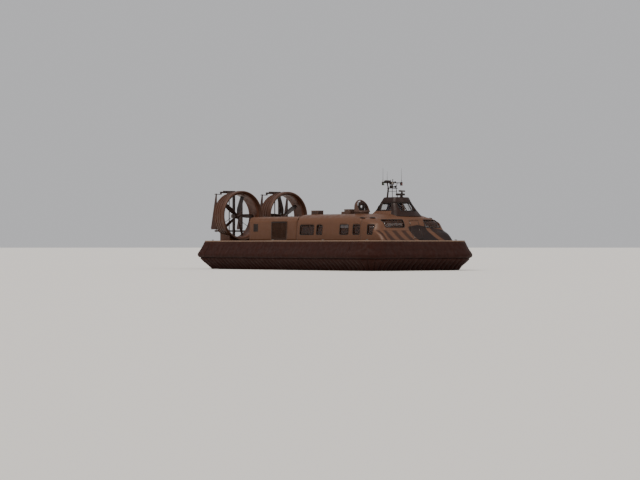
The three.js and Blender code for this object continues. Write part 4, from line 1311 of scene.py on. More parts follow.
def engine_hatches(side):
    """Two low lids on the bay's roof, each with two hinges inboard and two handles outboard."""
    roof, top = 4.54, 4.572
    hinge_y, handle_y = side * 1.43, side * 3.02
    parts = []
    for x0, x1 in ((-6.1, -4.1), (-3.7, -1.7)):
        y = tuple(sorted([side * 1.45, side * 3.15]))
        parts.append((slab((x0, x1), y, (roof, top), 0.014), fitting_paint))
        for x in (x0 + 0.3, x1 - 0.3):
            parts.append((rod((x - 0.09, hinge_y, top), (x + 0.09, hinge_y, top), 0.014), steel))
            handle = [(x, 4.57), (x, 4.61), (x + 0.12, 4.61), (x + 0.12, 4.57)]
            path = [(along, handle_y, z) for along, z in handle]
            parts.append((sweep(path, (0, 1, 0), circle(0.009, 8)), steel))
    return parts


def make_control_cabin():
    """Walls, roof and panes cut from the control cabin's skin, a brow and wipers."""
    corner = 0.06
    side_windows, front_windows, rear_windows = [], [], []
    for _, side in sides:
        spans = [(x0, x1, 4.98, 5.6, corner) for x0, x1 in ((7.23, 7.5), (7.68, 8.88))]
        side_windows.append(side_loops(side, spans, control))
    for y0, y1 in ((-0.85, -0.33), (-0.27, 0.27), (0.33, 0.85)):
        loop = window_loop(y0, y1, 4.92, 5.6, corner)
        front_windows.append(control.by_y(loop[:, 0], loop[:, 1]))
    for y0, y1 in ((0.06, 0.7), (-0.7, -0.06)):
        loop = window_loop(y0, y1, 5.04, 5.54, corner)
        w = control.w_of(loop[:, 1])
        a = np.abs(loop[:, 0]) / (control.row(w)[:, 3] - control.rear_radius)
        rear_windows.append(np.stack([a if y0 > 0 else 10 - a, w], axis=1))
    foot, belt, split = (float(control.w_of(z)) for z in (4.5, 4.955, 5.65))
    port, starboard = 2.9, 7.1

    def strip(a0, a1, w0, w1, holes=()):
        """The skin between two places round it and two levels."""
        return control.sheet(patch(a0, a1, w0, w1, int(abs(a1 - a0) * 40), 16), holes, 0.07)

    port_holes = side_windows[0][::-1] + rear_windows[:1]
    starboard_holes = side_windows[1][::-1] + rear_windows[1:]
    walls = [
        (strip(0.0, port, foot, belt), paint),
        (strip(starboard, 10.0, foot, belt), paint),
        (strip(port, starboard, foot, split, front_windows), dark_paint),
        (strip(0.0, port, belt, split, port_holes), dark_paint),
        (strip(starboard, 10.0, belt, split, starboard_holes), dark_paint),
    ]
    put("control_cabin_skin", walls, stands_for="control_cabin_walls", wall=CONTROL_WALL)
    windows = side_windows[0] + side_windows[1] + front_windows + rear_windows
    seals, panes = window_set(control, windows, -0.03, 0.018)
    put("control_window_seals", [(seals, rubber)])
    put("control_panes", [(panes, clear_glass)], stands_for="control_cabin_glass", wall=PANE)
    put("control_roof_skin", [(roof_shape(control, split, 13, 0.2), dark_paint)],
        stands_for="control_cabin_roof", wall=CONTROL_WALL)

    line = np.linspace(2.95, 7.05, 90), np.full(90, split)
    out = control.normal(*line)
    brow = sweep(control.point(*line) + 0.012 * out, out, round_rectangle(0.05, 0.03, 0.01, 3))
    wipers = []
    for y in (-0.59, 0.0, 0.59):
        across_screen = y + np.array([-0.12, 0.05, -0.05, 0.12])
        a, w = control.by_y(across_screen, np.array([4.93, 5.2, 5.03, 5.42])).T
        at, n = control.point(a, w), control.normal(a, w)
        wipers.append(rod(at[0], at[0] + 0.05 * n[0], 0.022))
        wipers.append(rod(at[0] + 0.045 * n[0], at[1] + 0.035 * n[1], 0.008, count=8))
        wipers.append(rod(at[2] + 0.026 * n[2], at[3] + 0.026 * n[3], 0.009, count=8))
    put("screen_brow_and_wipers", [(brow, rubber), (wipers, black_plastic)])


# Seats and console

def cushion(low, high, crown, axis):
    """A pad: a box with round edges whose broad faces rise toward the middle, by the crown times
    one minus each share squared, and whose sides draw in between its corners."""
    radius, draw, channel_depth, channel_width = 0.04, 0.05, 0.35, 0.06
    low, high = np.asarray(low, float), np.asarray(high, float)
    shape = block(low, high, radius, steps=3, inner=7)
    middle, half = (low + high) / 2, (high - low) / 2
    share = (shape.points - middle) / half
    u, v = (axis + 1) % 3, (axis + 2) % 3
    rise = np.clip(1 - share[:, u] ** 2, 0, 1) * np.clip(1 - share[:, v] ** 2, 0, 1)
    channel = channel_depth * np.exp(-((share[:, v] / channel_width) ** 2)) * (1 - share[:, u] ** 2)
    points = shape.points.copy()
    points[:, axis] += np.sign(share[:, axis]) * crown * (rise - channel)
    points[:, u] -= half[u] * draw * share[:, u] * (1 - share[:, v] ** 2)
    points[:, v] -= half[v] * draw * share[:, v] * (1 - share[:, u] ** 2)
    return Shape(points, shape.faces)


def put_pad(name, shape, stands_for=()):
    """One padded piece in seat cloth."""
    put(name, [(shape, cloth)], stands_for=stands_for, crease=60)


def make_passenger_seats():
    """Three banks of nine rows at an even pitch: pads on bars and legs."""
    rows = 0.35 + 0.9 * np.arange(9)
    # Each bank's name, middle, half width and number of places
    banks = (("port", 2.75, 0.75, 3), ("middle", 0.0, 0.95, 4), ("starboard", -2.75, 0.75, 3))
    # Each bar's place ahead of the row's start, height, and its section's height and depth
    seat_bars = ((0.13, 2.775, 0.04, 0.05), (0.38, 2.775, 0.04, 0.05), (0.055, 2.86, 0.03, 0.04))
    seam = 0.008  # half the gap between two places
    up, ahead = (0, 0, 1), (1, 0, 0)
    leg_heights = (DECK + 0.002, 2.77)
    frames = []
    for name, y, half, places in banks:
        width = 2 * half / places
        seats, backs = [], []
        for place in range(places):
            y0 = y - half + width * place + seam
            y1 = y0 + width - 2 * seam
            seat = cushion((0.1, y0, 2.795), (0.45, y1, 2.885), 0.014, 2)
            back = cushion((0.012, y0, 2.88), (0.098, y1, 3.585), 0.01, 0)
            seats += [seat.moved((x, 0, 0)) for x in rows]
            backs += [back.moved((x, 0, 0)) for x in rows]
        put_pad(f"passenger_cushions_{name}", joined(seats), f"passenger_seats_{name}")
        put_pad(f"passenger_backs_{name}", joined(backs))
        for x in rows:
            for offset, z, tall, deep in seat_bars:
                at = x + offset
                frames.append(strut((at, y - half, z), (at, y + half, z), tall, deep, up))
            for leg in (y - half * 0.55, y + half * 0.55):
                for at in (x + 0.14, x + 0.37):
                    ends = [(at, leg, z) for z in leg_heights]
                    frames.append(strut(*ends, 0.05, 0.035, ahead))
        frames.append(slab((0.35, 8.0), 0.09, (ON_DECK, 2.6), 0.02, y))  # a low spine under the bank
    put("passenger_seat_frames", [(joined(frames), dark_steel)])


def make_crew_seats():
    """Two padded seats on round stands."""
    base = []
    for name, side in sides:
        y = side * 0.56
        seat = cushion((8.07, y - 0.225, 4.945), (8.515, y + 0.225, 5.01), 0.012, 2)
        back = cushion((7.95, y - 0.21, 5.0), (8.05, y + 0.21, 5.565), 0.01, 0)
        put_pad(f"crew_cushion_{name}", seat, "crew_seats")
        put_pad(f"crew_back_{name}", back)
        base.append(rod((8.27, y, 4.7304), (8.27, y, 4.94), 0.07, 0.055))
        base.append(boss([(4.7204, 0), (4.7204, 0.17), (4.735, 0.165), (4.74, 0)], 8.27, y, 48))
        base.append(slab((8.06, 8.5), 0.2, (4.925, 4.947), 0.01, y))
    put("crew_seat_stands", [(joined(base), dark_steel)])


def make_console():
    """A desk with three panels of three turned dials."""
    dial = [(4.92, 0), (4.92, 0.03), (4.932, 0.028), (4.932, 0)]
    desk = [(slab((8.935, 9.175), 0.87, (4.56, 4.915), 0.04), black_plastic)]
    for y in (-0.5, 0.0, 0.5):  # a panel with three dials
        desk.append((slab((8.955, 9.10), 0.19, (4.912, 4.928), 0.006, y), rubber))
        desk.append(([boss(dial, 9.02, y + k, 20) for k in (-0.1, 0.0, 0.1)], glass))
    put("helm_console", desk, stands_for="control_console")


# Roof boxes and bow thrusters

def make_roof_boxes():
    """A vent box and a locker on each side of the roof."""
    for name, side in sides:
        put(f"roof_vent_box_{name}", vent_box(side * 2.25), stands_for=f"roof_vent_{name}")
        put(f"roof_locker_box_{name}", roof_locker(side, side * 1.95),
            stands_for=f"roof_locker_{name}")


def vent_box(y):
    """A box with an overhanging lid and slats on both sides and ahead."""
    half, slat, deep = 0.325, 0.02, 0.016
    parts = [
        (slab((0.155, 1.045), half, (4.6, 5.035), 0.04, y), fitting_paint),
        (slab((0.15, 1.05), 0.33, (5.0, 5.06), 0.025, y), fitting_paint),
    ]
    for z in np.linspace(4.80, 4.96, 5):
        for face in (-1, 1):
            at = y + face * half
            parts.append((strut((0.25, at, z), (0.95, at, z), slat, deep, (0, 1, 0)), dark_steel))
        parts.append((strut((1.045, y - 0.25, z), (1.045, y + 0.25, z), slat, deep, (1, 0, 0)), dark_steel))
    return parts


def roof_locker(side, y):
    """A locker with a lid, a low step behind it, two catches outboard and two hinges inboard."""
    parts = [
        (slab((4.155, 4.945), 0.315, (4.6, 5.06), 0.04, y), fitting_paint),
        (slab((4.15, 4.95), 0.32, (5.05, 5.13), 0.03, y), fitting_paint),
        (slab((3.72, 4.17), 0.27, (4.6, 4.93), 0.03, y), fitting_paint),
    ]
    catch_y, hinge_y = y + side * 0.312, y - side * 0.318
    for x in (4.35, 4.75):
        parts.append((slab((x - 0.03, x + 0.03), 0.012, (5.0, 5.09), 0.008, catch_y), steel))
        parts.append((rod((x - 0.05, hinge_y, 5.055), (x + 0.05, hinge_y, 5.055), 0.012), steel))
    return parts


THRUSTER_X, THRUSTER_Y = 6.2, 2.0
THRUSTER_LOW = 4.8104  # the nozzles' underside, just above their seats


def hood_path(half, foot, top):
    """Straight up one side, over a round head and down the other: (across, up)."""
    shoulder = top - half * 1.05
    angle = np.linspace(np.pi, 0, 40)
    head = np.stack([half * np.cos(angle), shoulder + (top - shoulder) * np.sin(angle)], axis=1)
    rise = np.linspace(foot, shoulder, 8)[:-1]
    left, right = (np.stack([np.full(rise.shape, k * half), rise[::-k]], axis=1) for k in (-1, 1))
    return np.concatenate([left, head, right])


def raked(shape):
    """Leans a hood's mouth aft with height, from just above the ring. Its rims grow narrower
    where little of its length is left."""
    mouth, tail, foot, lean = THRUSTER_X + 0.32, THRUSTER_X - 0.32, 4.87, 0.56
    points = shape.points.copy()
    shift = lean * np.clip(points[:, 2] - foot, 0, None)
    rim = np.minimum(1, (mouth - tail - shift) / 0.16)
    front = mouth - shift - (mouth - points[:, 0]) * rim
    back = tail + (points[:, 0] - tail) * rim
    points[:, 0] = np.where(points[:, 0] > THRUSTER_X, front, back)
    return Shape(points, shape.faces)


def thruster_seat(y):
    """The round seat that a nozzle turns on, and the bolts round its rim."""
    seat = boss([
        (4.40, 0), (4.40, 0.605), (4.60, 0.60), (4.73, 0.585), (4.755, 0.60), (4.79, 0.60),
        (4.8095, 0.585), (4.8095, 0),
    ], THRUSTER_X, y, 64)
    bolt, circle_radius, bolts = [(4.79, 0), (4.79, 0.012), (4.80, 0.011), (4.80, 0)], 0.592, []
    for angle in round_angles(24):
        x = THRUSTER_X + circle_radius * math.cos(angle)
        bolts.append(boss(bolt, x, y + circle_radius * math.sin(angle), 6))
    return [(seat, fitting_paint), (joined(bolts), steel)]


def thruster_hood(y):
    """A nozzle: its collar, the hood and its floor, and the vanes and stays across its mouth."""
    low, head = THRUSTER_LOW, 5.92
    collar = boss([
        (low + 0.001, 0), (low + 0.001, 0.56), (low + 0.02, 0.575), (low + 0.09, 0.6),
        (low + 0.11, 0.59), (low + 0.11, 0),
    ], THRUSTER_X, y, 64)
    path = hood_path(0.575, low + 0.06, 5.875)
    along = unit(np.gradient(path, axis=0))
    out = np.column_stack([np.zeros(len(path)), -along[:, 1], along[:, 0]])
    points = np.column_stack([np.full(len(path), THRUSTER_X), y + path[:, 0], path[:, 1]])
    section = np.array([  # out from the hood's middle, along the craft
        (-0.040, -0.318), (0.040, -0.318), (0.045, -0.30), (0.045, -0.27), (0.030, -0.255),
        (0.030, 0.255), (0.045, 0.27), (0.045, 0.30), (0.040, 0.318), (-0.040, 0.318),
        (-0.045, 0.30), (-0.045, -0.30),
    ])
    hood = raked(sweep(points, out, section))
    floor_plate = raked(slab((5.885, 6.515), 0.61, (low + 0.05, low + 0.2), 0.03, y))
    across_mouth = []
    for share, chord in ((0.33, 0.28), (0.62, 0.15)):
        z, x = low + 0.2 + (head - low - 0.29) * share, 6.0 + chord / 2
        ends = [(x, y - 0.56, z), (x, y + 0.56, z)]
        across_mouth.append(sweep(ends, (1, 0, 0), foil_section(chord, 0.026, 18)))
    stays = (  # across from the middle, foot and head above the underside
        (-0.42, 0.19, 0.62), (-0.21, 0.19, 0.90), (0.0, 0.19, 0.42), (0.0, 0.62, 1.0), (0.21, 0.19, 0.90),
        (0.42, 0.42, 0.80),
    )
    for k, foot, top in stays:
        ends = [(6.08, y + k, low + height) for height in (foot, top)]
        across_mouth.append(strut(*ends, 0.30, 0.016, (1, 0, 0)))
    return [([collar, hood, floor_plate], fitting_paint), (joined(across_mouth), grey_paint)]


def make_thrusters():
    """A seat and a turning nozzle on each side."""
    for name, side in sides:
        y = side * THRUSTER_Y
        put(f"thruster_ring_{name}", thruster_seat(y), stands_for=f"thruster_seat_{name}")
        put(f"thruster_hood_{name}", thruster_hood(y), body=f"nozzle_{name}",
            stands_for=f"thruster_nozzle_{name}")


# Mast, radar and deck fittings

MAST_X, MAST_FOOT_X = 7.72, 7.74
CROSSBAR_Z, CROSSBAR_END, LAMP_Y = 7.33, 1.03, 1.02  # height, and how far to each side
CONTROL_TOP = 6.1004  # just above the control cabin's roof
RADAR_X = 8.93


def mast_legs():
    """Three legs on round feet, which bend outward above the platform."""
    legs = []
    for k, thick, upper in ((-1, 0.07, 0.05), (0, 0.024, 0.024), (1, 0.03, 0.024)):
        foot_y, platform_y = k * 0.56, k * 0.43
        foot = CONTROL_TOP
        legs.append(rod((MAST_FOOT_X, foot_y, foot), (MAST_X, platform_y, 6.87), thick))
        flange = [(foot, 0), (foot, 0.06), (foot + 0.012, 0.058), (foot + 0.02, 0.03), (foot + 0.02, 0)]
        legs.append(boss(flange, MAST_FOOT_X, foot_y, 20))
        legs.append(rod((MAST_X, platform_y, 6.85), (MAST_X, foot_y, CROSSBAR_Z), upper))
    return legs


def mast_fittings():
    """Platform, crossbar, lamp boxes, searchlights, loudhailer, domes, short posts and aerials."""
    x = MAST_X
    parts = [
        slab((x - 0.1, x + 0.12), 0.51, (6.845, 6.9), 0.02),  # platform
        rod((x, -CROSSBAR_END, CROSSBAR_Z), (x, CROSSBAR_END, CROSSBAR_Z), 0.034),
        rod((x, -0.5, 6.6), (x, 0.5, 6.6), 0.016),  # rung between the legs
    ]
    parts += [slab((x - 0.07, x + 0.07), 0.1, (7.10, 7.40), 0.03, k * LAMP_Y) for k in (-1, 1)]
    parts.append(slab((x - 0.1, x + 0.1), (-0.26, 0.12), (7.16, 7.42), 0.04))  # white lamp's box
    parts.append(slab((x - 0.09, x + 0.11), (-0.24, 0.03), (6.9, 7.12), 0.03))  # its foot
    searchlight = [  # along the craft, radius
        (-0.13, 0), (-0.12, 0.06), (-0.04, 0.12), (0.10, 0.13), (0.12, 0.125), (0.12, 0.11), (0.09, 0),
    ]
    for y in (-0.78, -0.47):
        parts.append(turned(searchlight, (x + 0.02, y, 7.40), count=32))
        parts.append(rod((x, y, 7.3), (x, y, 7.36), 0.03))
    horn = [(0.0, 0.03), (0.10, 0.035), (0.2, 0.06), (0.27, 0.095), (0.27, 0.08), (0.2, 0.045), (0.0, 0.0)]
    parts.append(turned(horn, (x - 0.08, 0.2, 7.0), count=28))
    parts.append(rod((x, 0.2, 6.89), (x, 0.2, 6.98), 0.018))
    for y, size in ((0.33, 0.085), (-0.39, 0.07)):
        shares = [(7.35, 0), (7.35, 1), (7.40, 1), (7.43, 0.85), (7.455, 0.5), (7.462, 0)]
        parts.append(boss([(z, size * share) for z, share in shares], x, y, 28))
    beacon = [(7.40, 0), (7.40, 0.03), (7.55, 0.026), (7.62, 0.045), (7.63, 0.02), (7.63, 0)]
    post = [(7.40, 0), (7.40, 0.03), (7.52, 0.035), (7.56, 0.03), (7.57, 0)]
    parts += [boss(beacon, x, 0.06, 20), boss(post, x, -0.18, 20)]
    for y, top in ((-CROSSBAR_END, 8.5596), (-0.56, 8.25), (CROSSBAR_END, 8.5596)):  # aerials
        parts.append(rod((x, y, 7.30), (x, y, 7.56), 0.026, 0.02))
        parts.append(rod((x, y, 7.55), (x, y, top), 0.014, 0.006, count=10))
    return parts


def mast_lamps():
    """Lenses of the two side lights and of the white light ahead."""
    side_lens = [(7.16, 0), (7.16, 0.05), (7.29, 0.05), (7.30, 0.03), (7.30, 0)]
    white = [(0.10, 0), (0.10, 0.07), (0.113, 0.075), (0.117, 0.05), (0.117, 0)]
    return [
        (boss(side_lens, MAST_X + 0.065, -LAMP_Y, 24), green_lens),
        (boss(side_lens, MAST_X + 0.065, LAMP_Y, 24), red_lens),
        (turned(white, (MAST_X, -0.07, 7.29), count=28), white_lens),
    ]


def make_mast():
    """The mast's legs, fittings and lamps as one piece."""
    parts = [(joined(mast_legs() + mast_fittings()), black_metal)] + mast_lamps()
    put("mast_and_aerials", parts, stands_for="mast_frame")


def make_radar():
    """A stand, and a bar swept level across the bearing's axis, narrower at its ends."""
    foot = [(CONTROL_TOP, 0), (CONTROL_TOP, 0.17), (6.118, 0.165), (6.13, 0.115), (6.30, 0.105), (6.30, 0)]
    bearing = [(6.40, 0), (6.40, 0.095), (6.44, 0.09), (6.495, 0.08), (6.4995, 0)]
    gearbox = slab((8.46, 9.02), 0.3, (6.245, 6.415), 0.05)
    stand = [boss(foot, 8.88, 0, 40), gearbox, boss(bearing, RADAR_X, 0, 40)]
    put("radar_stand", [(joined(stand), black_metal)], stands_for="radar_pedestal")
    heading = math.radians(117)
    along = np.array([math.cos(heading), math.sin(heading), 0])
    path = np.array([RADAR_X, 0, 6.61]) + np.outer([-0.65, -0.6, 0.6, 0.65], along)
    bar = sweep(path, (0, 0, 1), round_rectangle(0.14, 0.118, 0.035, 5), scale=np.array([0.72, 1, 1, 0.72]))
    hub = boss([(6.5005, 0), (6.5005, 0.075), (6.55, 0.07), (6.56, 0)], RADAR_X, 0, 32)
    put("radar_bar", [(bar, moulded_grey), (hub, black_metal)], body="scanner",
        stands_for="radar_scanner")


def cleat(x, y):
    """A mooring cleat: two feet, and a bar with turned-down horns along the craft."""
    foot = [(DECK, 0), (DECK, 0.035), (2.475, 0.03), (2.52, 0.018), (2.56, 0.018), (2.56, 0)]
    horn = [(-0.17, 2.553), (-0.1, 2.565), (0, 2.568), (0.1, 2.565), (0.17, 2.553)]
    path = [(x + along, y, z) for along, z in horn]
    horns = sweep(path, (0, 0, 1), circle(0.02, 12), scale=np.array([0.6, 1, 1, 1, 0.6]))
    base = slab((x - 0.13, x + 0.13), 0.05, (DECK + 0.0002, 2.47), 0.004, y)
    return [boss(foot, x - 0.06, y, 16), boss(foot, x + 0.06, y, 16), horns, base]


def shoulder_vent(middle):
    """A small dark vent on the cabin's shoulder, about a place laid out flat: a rim, a dark sheet
    behind it that is painted shade for its opening, and three blades."""
    width, height, step, count = 0.22, 0.19, 0.05, 8
    loop = cabin.places(evenly(round_rectangle(width, height, 0.03), 0.03) + middle)
    rim = cabin.trim(loop, round_rectangle(0.075, 0.03, 0.01, 3), 0.035)
    # painted shade: a dark sheet behind the blades, where the vent's opening would be in shade
    painted_shade_sheet = cabin.sheet(loop, spacing=0.1, height=0.066)
    blades, reach = [], width / 2 - 0.015
    for up in (-step, 0.0, step):
        line = np.stack([np.linspace(-reach, reach, count), np.full(count, up)], axis=1) + middle
        out = cabin.normal(*cabin.places(line).T)
        blades.append(sweep(cabin.raised(line, 0.069), out, round_rectangle(0.016, 0.012, 0.004, 3)))
    return [(rim, grey_paint), (painted_shade_sheet, rubber), (blades, black_plastic)]


def make_deck():
    """Cleats along the deck's sides and vents on the cabin's shoulders."""
    places = [(10.2, 4.95), (5.2, 5.45), (-1.5, 5.45), (-10.3, 5.2)]  # on each side
    fittings = [s for x, y in places for k in (1, -1) for s in cleat(x, k * y)]
    put("mooring_cleats", [(joined(fittings), steel)])
    vents = []
    for _, side in sides:
        for x in (8.12, 8.94):
            vents += shoulder_vent(cabin.flat(cabin.by_x(np.array([x]), np.array([4.33]), side)))
    put("shoulder_vents", vents)


# Ducts, propellers and rudders

def foil_section(length, width, count=24):
    """A closed streamlined section, fuller ahead of its middle: (along, across)."""
    angle = round_angles(count)
    across_share = np.sin(angle) * (1 + 0.32 * np.cos(angle)) / 1.05
    return np.stack([length / 2 * np.cos(angle), width / 2 * across_share], axis=1)


duct_lip = [  # along the craft, radius
    (-9.72, 1.880), (-9.57, 1.905), (-9.43, 1.970), (-9.345, 2.04), (-9.302, 2.12), (-9.318, 2.178),
    (-9.39, 2.210), (-9.53, 2.209), (-9.68, 2.200),
]


def duct_ring(y):
    """The duct's closed section turned round its axis: a round lip ahead, a blunt edge behind."""
    lip = flowing(duct_lip, np.linspace(0, len(duct_lip) - 1, 33))
    tail_x, tail_radius, tail_round = -10.905, 1.965, 0.045
    angle = np.radians(np.linspace(75, -90, 7))
    tail = np.stack([tail_x - tail_round * np.cos(angle), tail_radius + tail_round * np.sin(angle)], axis=1)
    outer = np.linspace((-9.80, 2.182), (-10.85, 2.025), 9)
    inner = np.linspace((-10.82, 1.916), (-9.82, 1.883), 8)
    return turned(np.concatenate([lip, outer, tail, inner]), (0, y, DUCT_Z), count=128, closed=True)


def hoop(x, radius, y):
    """A low ring round the duct."""
    thick = 0.05
    section = round_rectangle(thick, thick, thick * 0.3, 3) + [x, radius]
    return turned(section, (0, y, DUCT_Z), count=128, closed=True)


def duct_shell(y):
    """The ring's lip, its inside and the rest in paints of their own, and four hoops round it. The inside's
    paint is lighter than the outside's: painted light falling into the duct.
    """
    lip_end, inside_radius = -9.44, 1.93
    hoop_places = ((-9.80, 2.19), (-10.18, 2.135), (-10.56, 2.08), (-10.90, 2.02))
    ring = duct_ring(y)

    def within(c):
        """Tells which places are nearer the duct's axis than its inside."""
        return np.hypot(c[:, 1] - y, c[:, 2] - DUCT_Z) < inside_radius

    return [
        (ring.only(lambda c: (c[:, 0] <= lip_end) & ~within(c)), duct_paint),
        # painted light: the inside takes the lighter copy of the duct's paint
        (ring.only(lambda c: (c[:, 0] <= lip_end) & within(c)), duct_inside_painted_light),
        (ring.only(lambda c: c[:, 0] > lip_end), steel_lip),
        (joined([hoop(x, radius, y) for x, radius in hoop_places]), duct_paint),
    ]


def duct_saddle(y):
    """A block under the duct, hollowed out to the duct's curve."""
    half, crown = 1.35, 3.15
    ys = np.linspace(-half, half, 41)
    top = np.minimum(crown, DUCT_Z - np.sqrt(1.97**2 - ys**2))
    outline = np.concatenate([np.stack([ys, top], 1), [(half, ON_DECK), (-half, ON_DECK)]])
    return prism(outline + [y, 0], -10.85, -9.48)


def duct_struts(y):
    """The post and braces that carry the hub pod behind the propeller."""
    x, reach = -10.67, 1.88
    bars = [sweep([(x, y, 2.74), (x, y, 6.64)], (1, 0, 0), foil_section(0.38, 0.15))]
    for angle in np.radians((210, 330)):
        tip = (x, y + reach * math.cos(angle), DUCT_Z + reach * math.sin(angle))
        bars.append(rod((x, y, DUCT_Z), tip, 0.022, count=12))
    pod = turned([
        (-10.331, 0), (-10.331, 0.225), (-10.35, 0.23), (-10.5, 0.23), (-10.68, 0.215), (-10.84, 0.18),
        (-10.92, 0.12), (-10.94, 0.05), (-10.94, 0),
    ], (0, y, DUCT_Z), count=40)
    return [(joined(bars), grey_paint), (pod, fitting_paint)]


def make_ducts():
    """The shell, saddle and struts of each duct."""
    for name, side in sides:
        y = side * DUCT_Y
        put(f"duct_shell_{name}", duct_shell(y), stands_for=f"duct_{name}")
        soften(put(f"duct_saddle_{name}", [(duct_saddle(y), duct_paint)]), 0.02)
        put(f"duct_struts_{name}", duct_struts(y))


blade_stations = [  # radius, chord, twist in degrees, thickness
    (0.20, 0.20, 56, 0.120), (0.34, 0.27, 49, 0.100), (0.60, 0.385, 39, 0.066),
    (0.95, 0.400, 31, 0.052), (1.30, 0.385, 25, 0.042), (1.62, 0.350, 21.5, 0.034),
    (1.76, 0.315, 20.3, 0.028), (1.805, 0.250, 20, 0.022), (1.824, 0.130, 20, 0.014),
]


def blade(angle):
    """A streamlined section set out along the radius, with its chord, twist and thickness
    flowing between stations, then turned round the shaft. Its metal strip lies along the leading
    edge of the outer part."""
    at = np.concatenate([np.linspace(0, 6, 31), np.linspace(6, 8, 11)[1:]])
    strip_from, lead_points = 12, [0, 1, 2, 23, 24, 25]
    radius, chord, twist, thick = flowing(blade_stations, at).T
    section = foil_section(1.0, 1.0, 26)
    c = -section[:, 0][None, :] * chord[:, None]
    t = section[:, 1][None, :] * thick[:, None]
    turn = np.radians(twist)[:, None]
    x = c * np.sin(turn) + t * np.cos(turn)
    v = c * np.cos(turn) - t * np.sin(turn)
    r = np.broadcast_to(radius[:, None], x.shape)
    ca, sa = math.cos(angle), math.sin(angle)
    whole = tube(np.stack([x, v * ca - r * sa, v * sa + r * ca], axis=-1))
    rows, columns = x.shape
    grid = whole.faces[0].reshape(rows - 1, columns, 4)
    lead = np.isin(np.arange(columns), lead_points)
    strip = grid[strip_from:][:, lead].reshape(-1, 4)
    rest = np.concatenate([grid[:strip_from].reshape(-1, 4), grid[strip_from:][:, ~lead].reshape(-1, 4)])
    whole = Shape(whole.points, [rest, strip] + whole.faces[1:]).outward()
    return Shape(whole.points, [whole.faces[0], *whole.faces[2:]]), Shape(whole.points, whole.faces[1])


def make_propellers():
    """Each side's turned spinner, with five blades at even angles round it."""
    spinner = [  # ahead of the blades' middle, radius
        (0.29, 0.0), (0.285, 0.05), (0.26, 0.105), (0.20, 0.163), (0.12, 0.212), (0.02, 0.247),
        (-0.08, 0.258), (-0.185, 0.25),
    ]
    nose = flowing(spinner, np.linspace(0, len(spinner) - 1, 29))
    nose[0, 1] = 0
    profile = np.concatenate([nose, [(-0.19, 0.24), (-0.19, 0.0)]])
    for name, side, start in (("port", 1, 33), ("starboard", -1, 0)):
        middle = np.array([-10.14 + CLEAR, side * DUCT_Y, DUCT_Z])
        parts = [(turned(profile, middle, count=56), fitting_dark)]
        for k in range(5):
            angle = math.radians(start - 90 + 72 * k)
            skin, strip = blade(angle)
            parts += [(skin.moved(middle), composite), (strip.moved(middle), steel)]
            way = np.array([0, -math.sin(angle), math.cos(angle)])
            parts.append((rod(middle + 0.2 * way, middle + 0.285 * way, 0.085, 0.075, 24), dark_steel))
        put(f"propeller_blades_{name}", parts, body=f"screw_{name}",
            stands_for=f"propeller_{name}")


STOCK_X, STOCK_Y = -11.33, 1.45  # the rudders' stocks, across from each duct's axis


def rudder_blade(y):
    """A thin streamlined section at each height, from the hinge back to a raked trailing edge."""
    foot, head, tip = 3.5, 6.5, 6.57
    z = np.concatenate([np.linspace(foot, head, 25), [6.54, tip]])
    lead = np.interp(z, [foot, tip], [0.11, 0.09])
    trail = np.interp(z, [foot, 3.56, 6.53, tip], [0.74, 0.80, 0.11, 0.07])
    section = foil_section(1.0, 0.06, 28)
    length = lead + trail
    x = STOCK_X + lead[:, None] + (section[:, 0][None, :] - 0.5) * length[:, None]
    ys = y + np.broadcast_to(section[:, 1], x.shape)
    return tube(np.stack([x, ys, np.broadcast_to(z[:, None], x.shape)], axis=-1)).outward()


def rudder_frame(y):
    """The beams behind a duct: heads and feet to the duct, a middle post, stepped ends that hold
    the stocks' bearings."""
    beam, arm, sill = (-11.42, -11.24), (-11.26, -10.9504), (3.29, 3.43)
    reach = 1.59
    parts = [
        slab(beam, 0.98, (6.72, 6.87), 0.03, y),  # top beam
        slab(arm, 0.33, (6.56, 6.87), 0.04, y),  # its arm to the duct
        slab((-11.40, -11.26), 0.66, (6.866, 6.95), 0.03, y),  # cover on the beam
        slab(beam, reach, sill, 0.03, y),  # lower beam
        slab(arm, (y - reach, y - 1.50), sill, 0.02),  # its arms
        slab(arm, (y + 1.50, y + reach), sill, 0.02),
        strut((STOCK_X, y, 3.41), (STOCK_X, y, 6.74), 0.10, 0.058, (1, 0, 0)),  # middle post
    ]
    upper_bearing = [(6.645, 0), (6.645, 0.08), (6.665, 0.075), (6.685, 0.045), (6.685, 0)]
    lower_bearing = [(3.27, 0), (3.27, 0.06), (3.295, 0.075), (3.295, 0)]
    for k in (-1, 1):
        inner, ledge, outer = y + k * 0.89, y + k * 0.98, y + k * reach
        parts.append(slab(beam, tuple(sorted((inner, outer))), (6.59, 6.65), 0.015))
        parts.append(slab(beam, tuple(sorted((inner, ledge))), (6.60, 6.86), 0.02))
        parts.append(boss(upper_bearing, STOCK_X, y + k * STOCK_Y, 24))
        parts.append(boss(lower_bearing, STOCK_X, y + k * STOCK_Y, 24))
    return parts


def rudder_parts(y):
    """A rudder's blade, its stock and the ribs across it."""
    stock = rod((STOCK_X, y, 3.4304), (STOCK_X, y, 6.5896), 0.044, count=20)
    section, taper = round_rectangle(0.062, 0.02, 0.006, 3), np.array([1.0, 0.45])
    ribs = [
        sweep([(STOCK_X - 0.02, y, z), (STOCK_X - reach, y, z)], (0, 1, 0), section, scale=taper)
        for z, reach in ((3.75, 0.66), (4.5, 0.49), (5.25, 0.33), (6.0, 0.17))
    ]
    return [(rudder_blade(y), rudder_paint), (stock, dark_steel), (joined(ribs), rudder_paint)]


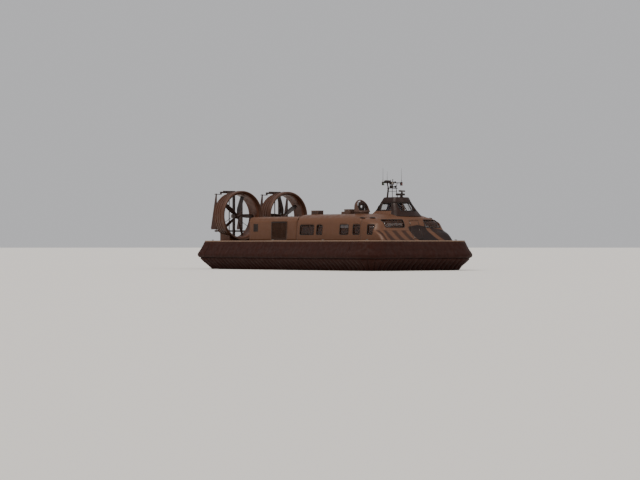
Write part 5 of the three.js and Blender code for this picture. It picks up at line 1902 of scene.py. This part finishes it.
def make_rudders():
    """The beams behind each duct, and a rudder on either side of its axis."""
    for name, side in sides:
        put(f"rudder_beams_{name}", [(joined(rudder_frame(side * DUCT_Y)), grey_paint)],
            stands_for=f"rudder_frame_{name}")
        for place, offset in (("outboard", STOCK_Y), ("inboard", -STOCK_Y)):
            put(f"rudder_blade_{name}_{place}", rudder_parts(side * (DUCT_Y + offset)),
                body=f"rudder_{name[0]}{place[0]}", stands_for=f"rudder_{name}_{place}")


def make_engines():
    """A plain engine on each side, with its heads, manifold, pulleys and bearers."""
    for name, side in sides:
        y = side * 2.35
        bed = (ON_DECK, 2.62)
        parts = [
            (slab((-5.85, -3.95), 0.42, (2.62, 3.35), 0.05, y), engine_iron),  # block
            (slab((-5.7, -4.1), (y - 0.5, y - 0.36), bed, 0.02), dark_steel),  # bearers
            (slab((-5.7, -4.1), (y + 0.36, y + 0.5), bed, 0.02), dark_steel),
            (slab((-5.6, -4.2), 0.14, (3.33, 3.68), 0.06, y), dark_steel),  # manifold
        ]
        for x in np.linspace(-5.62, -4.38, 6):  # cylinder heads in two rows
            for k in (-0.3, 0.3):
                parts.append((slab((x - 0.09, x + 0.09), 0.14, (3.3, 3.5), 0.03, y + k), engine_iron))
        for z, r in ((2.95, 0.2), (3.3, 0.13)):  # pulleys
            wheel = [(-3.95, 0), (-3.95, r), (-3.905, r), (-3.905, 0)]
            parts.append((turned(wheel, (0, y, z), count=32), dark_steel))
        put(f"engine_assembly_{name}", parts, stands_for=f"engine_block_{name}")


# Putting it together

photo_camera()
sun("key", 1.95, 5, 52, 30, (1.0, 0.93, 0.85))
sun("fill", 0.6, 110, 35, 40, (1.0, 0.96, 0.92))
studio_light()
make_floor()

set_finish("hull_raft", deck_finish)
for name, _ in sides:
    set_finish(f"landing_skid_{name}", dark_steel)
make_skirt()
make_cabin()
make_bay()
make_control_cabin()
make_passenger_seats()
make_crew_seats()
make_console()
make_roof_boxes()
make_thrusters()
make_mast()
make_radar()
make_deck()
make_ducts()
make_propellers()
make_rudders()
make_engines()
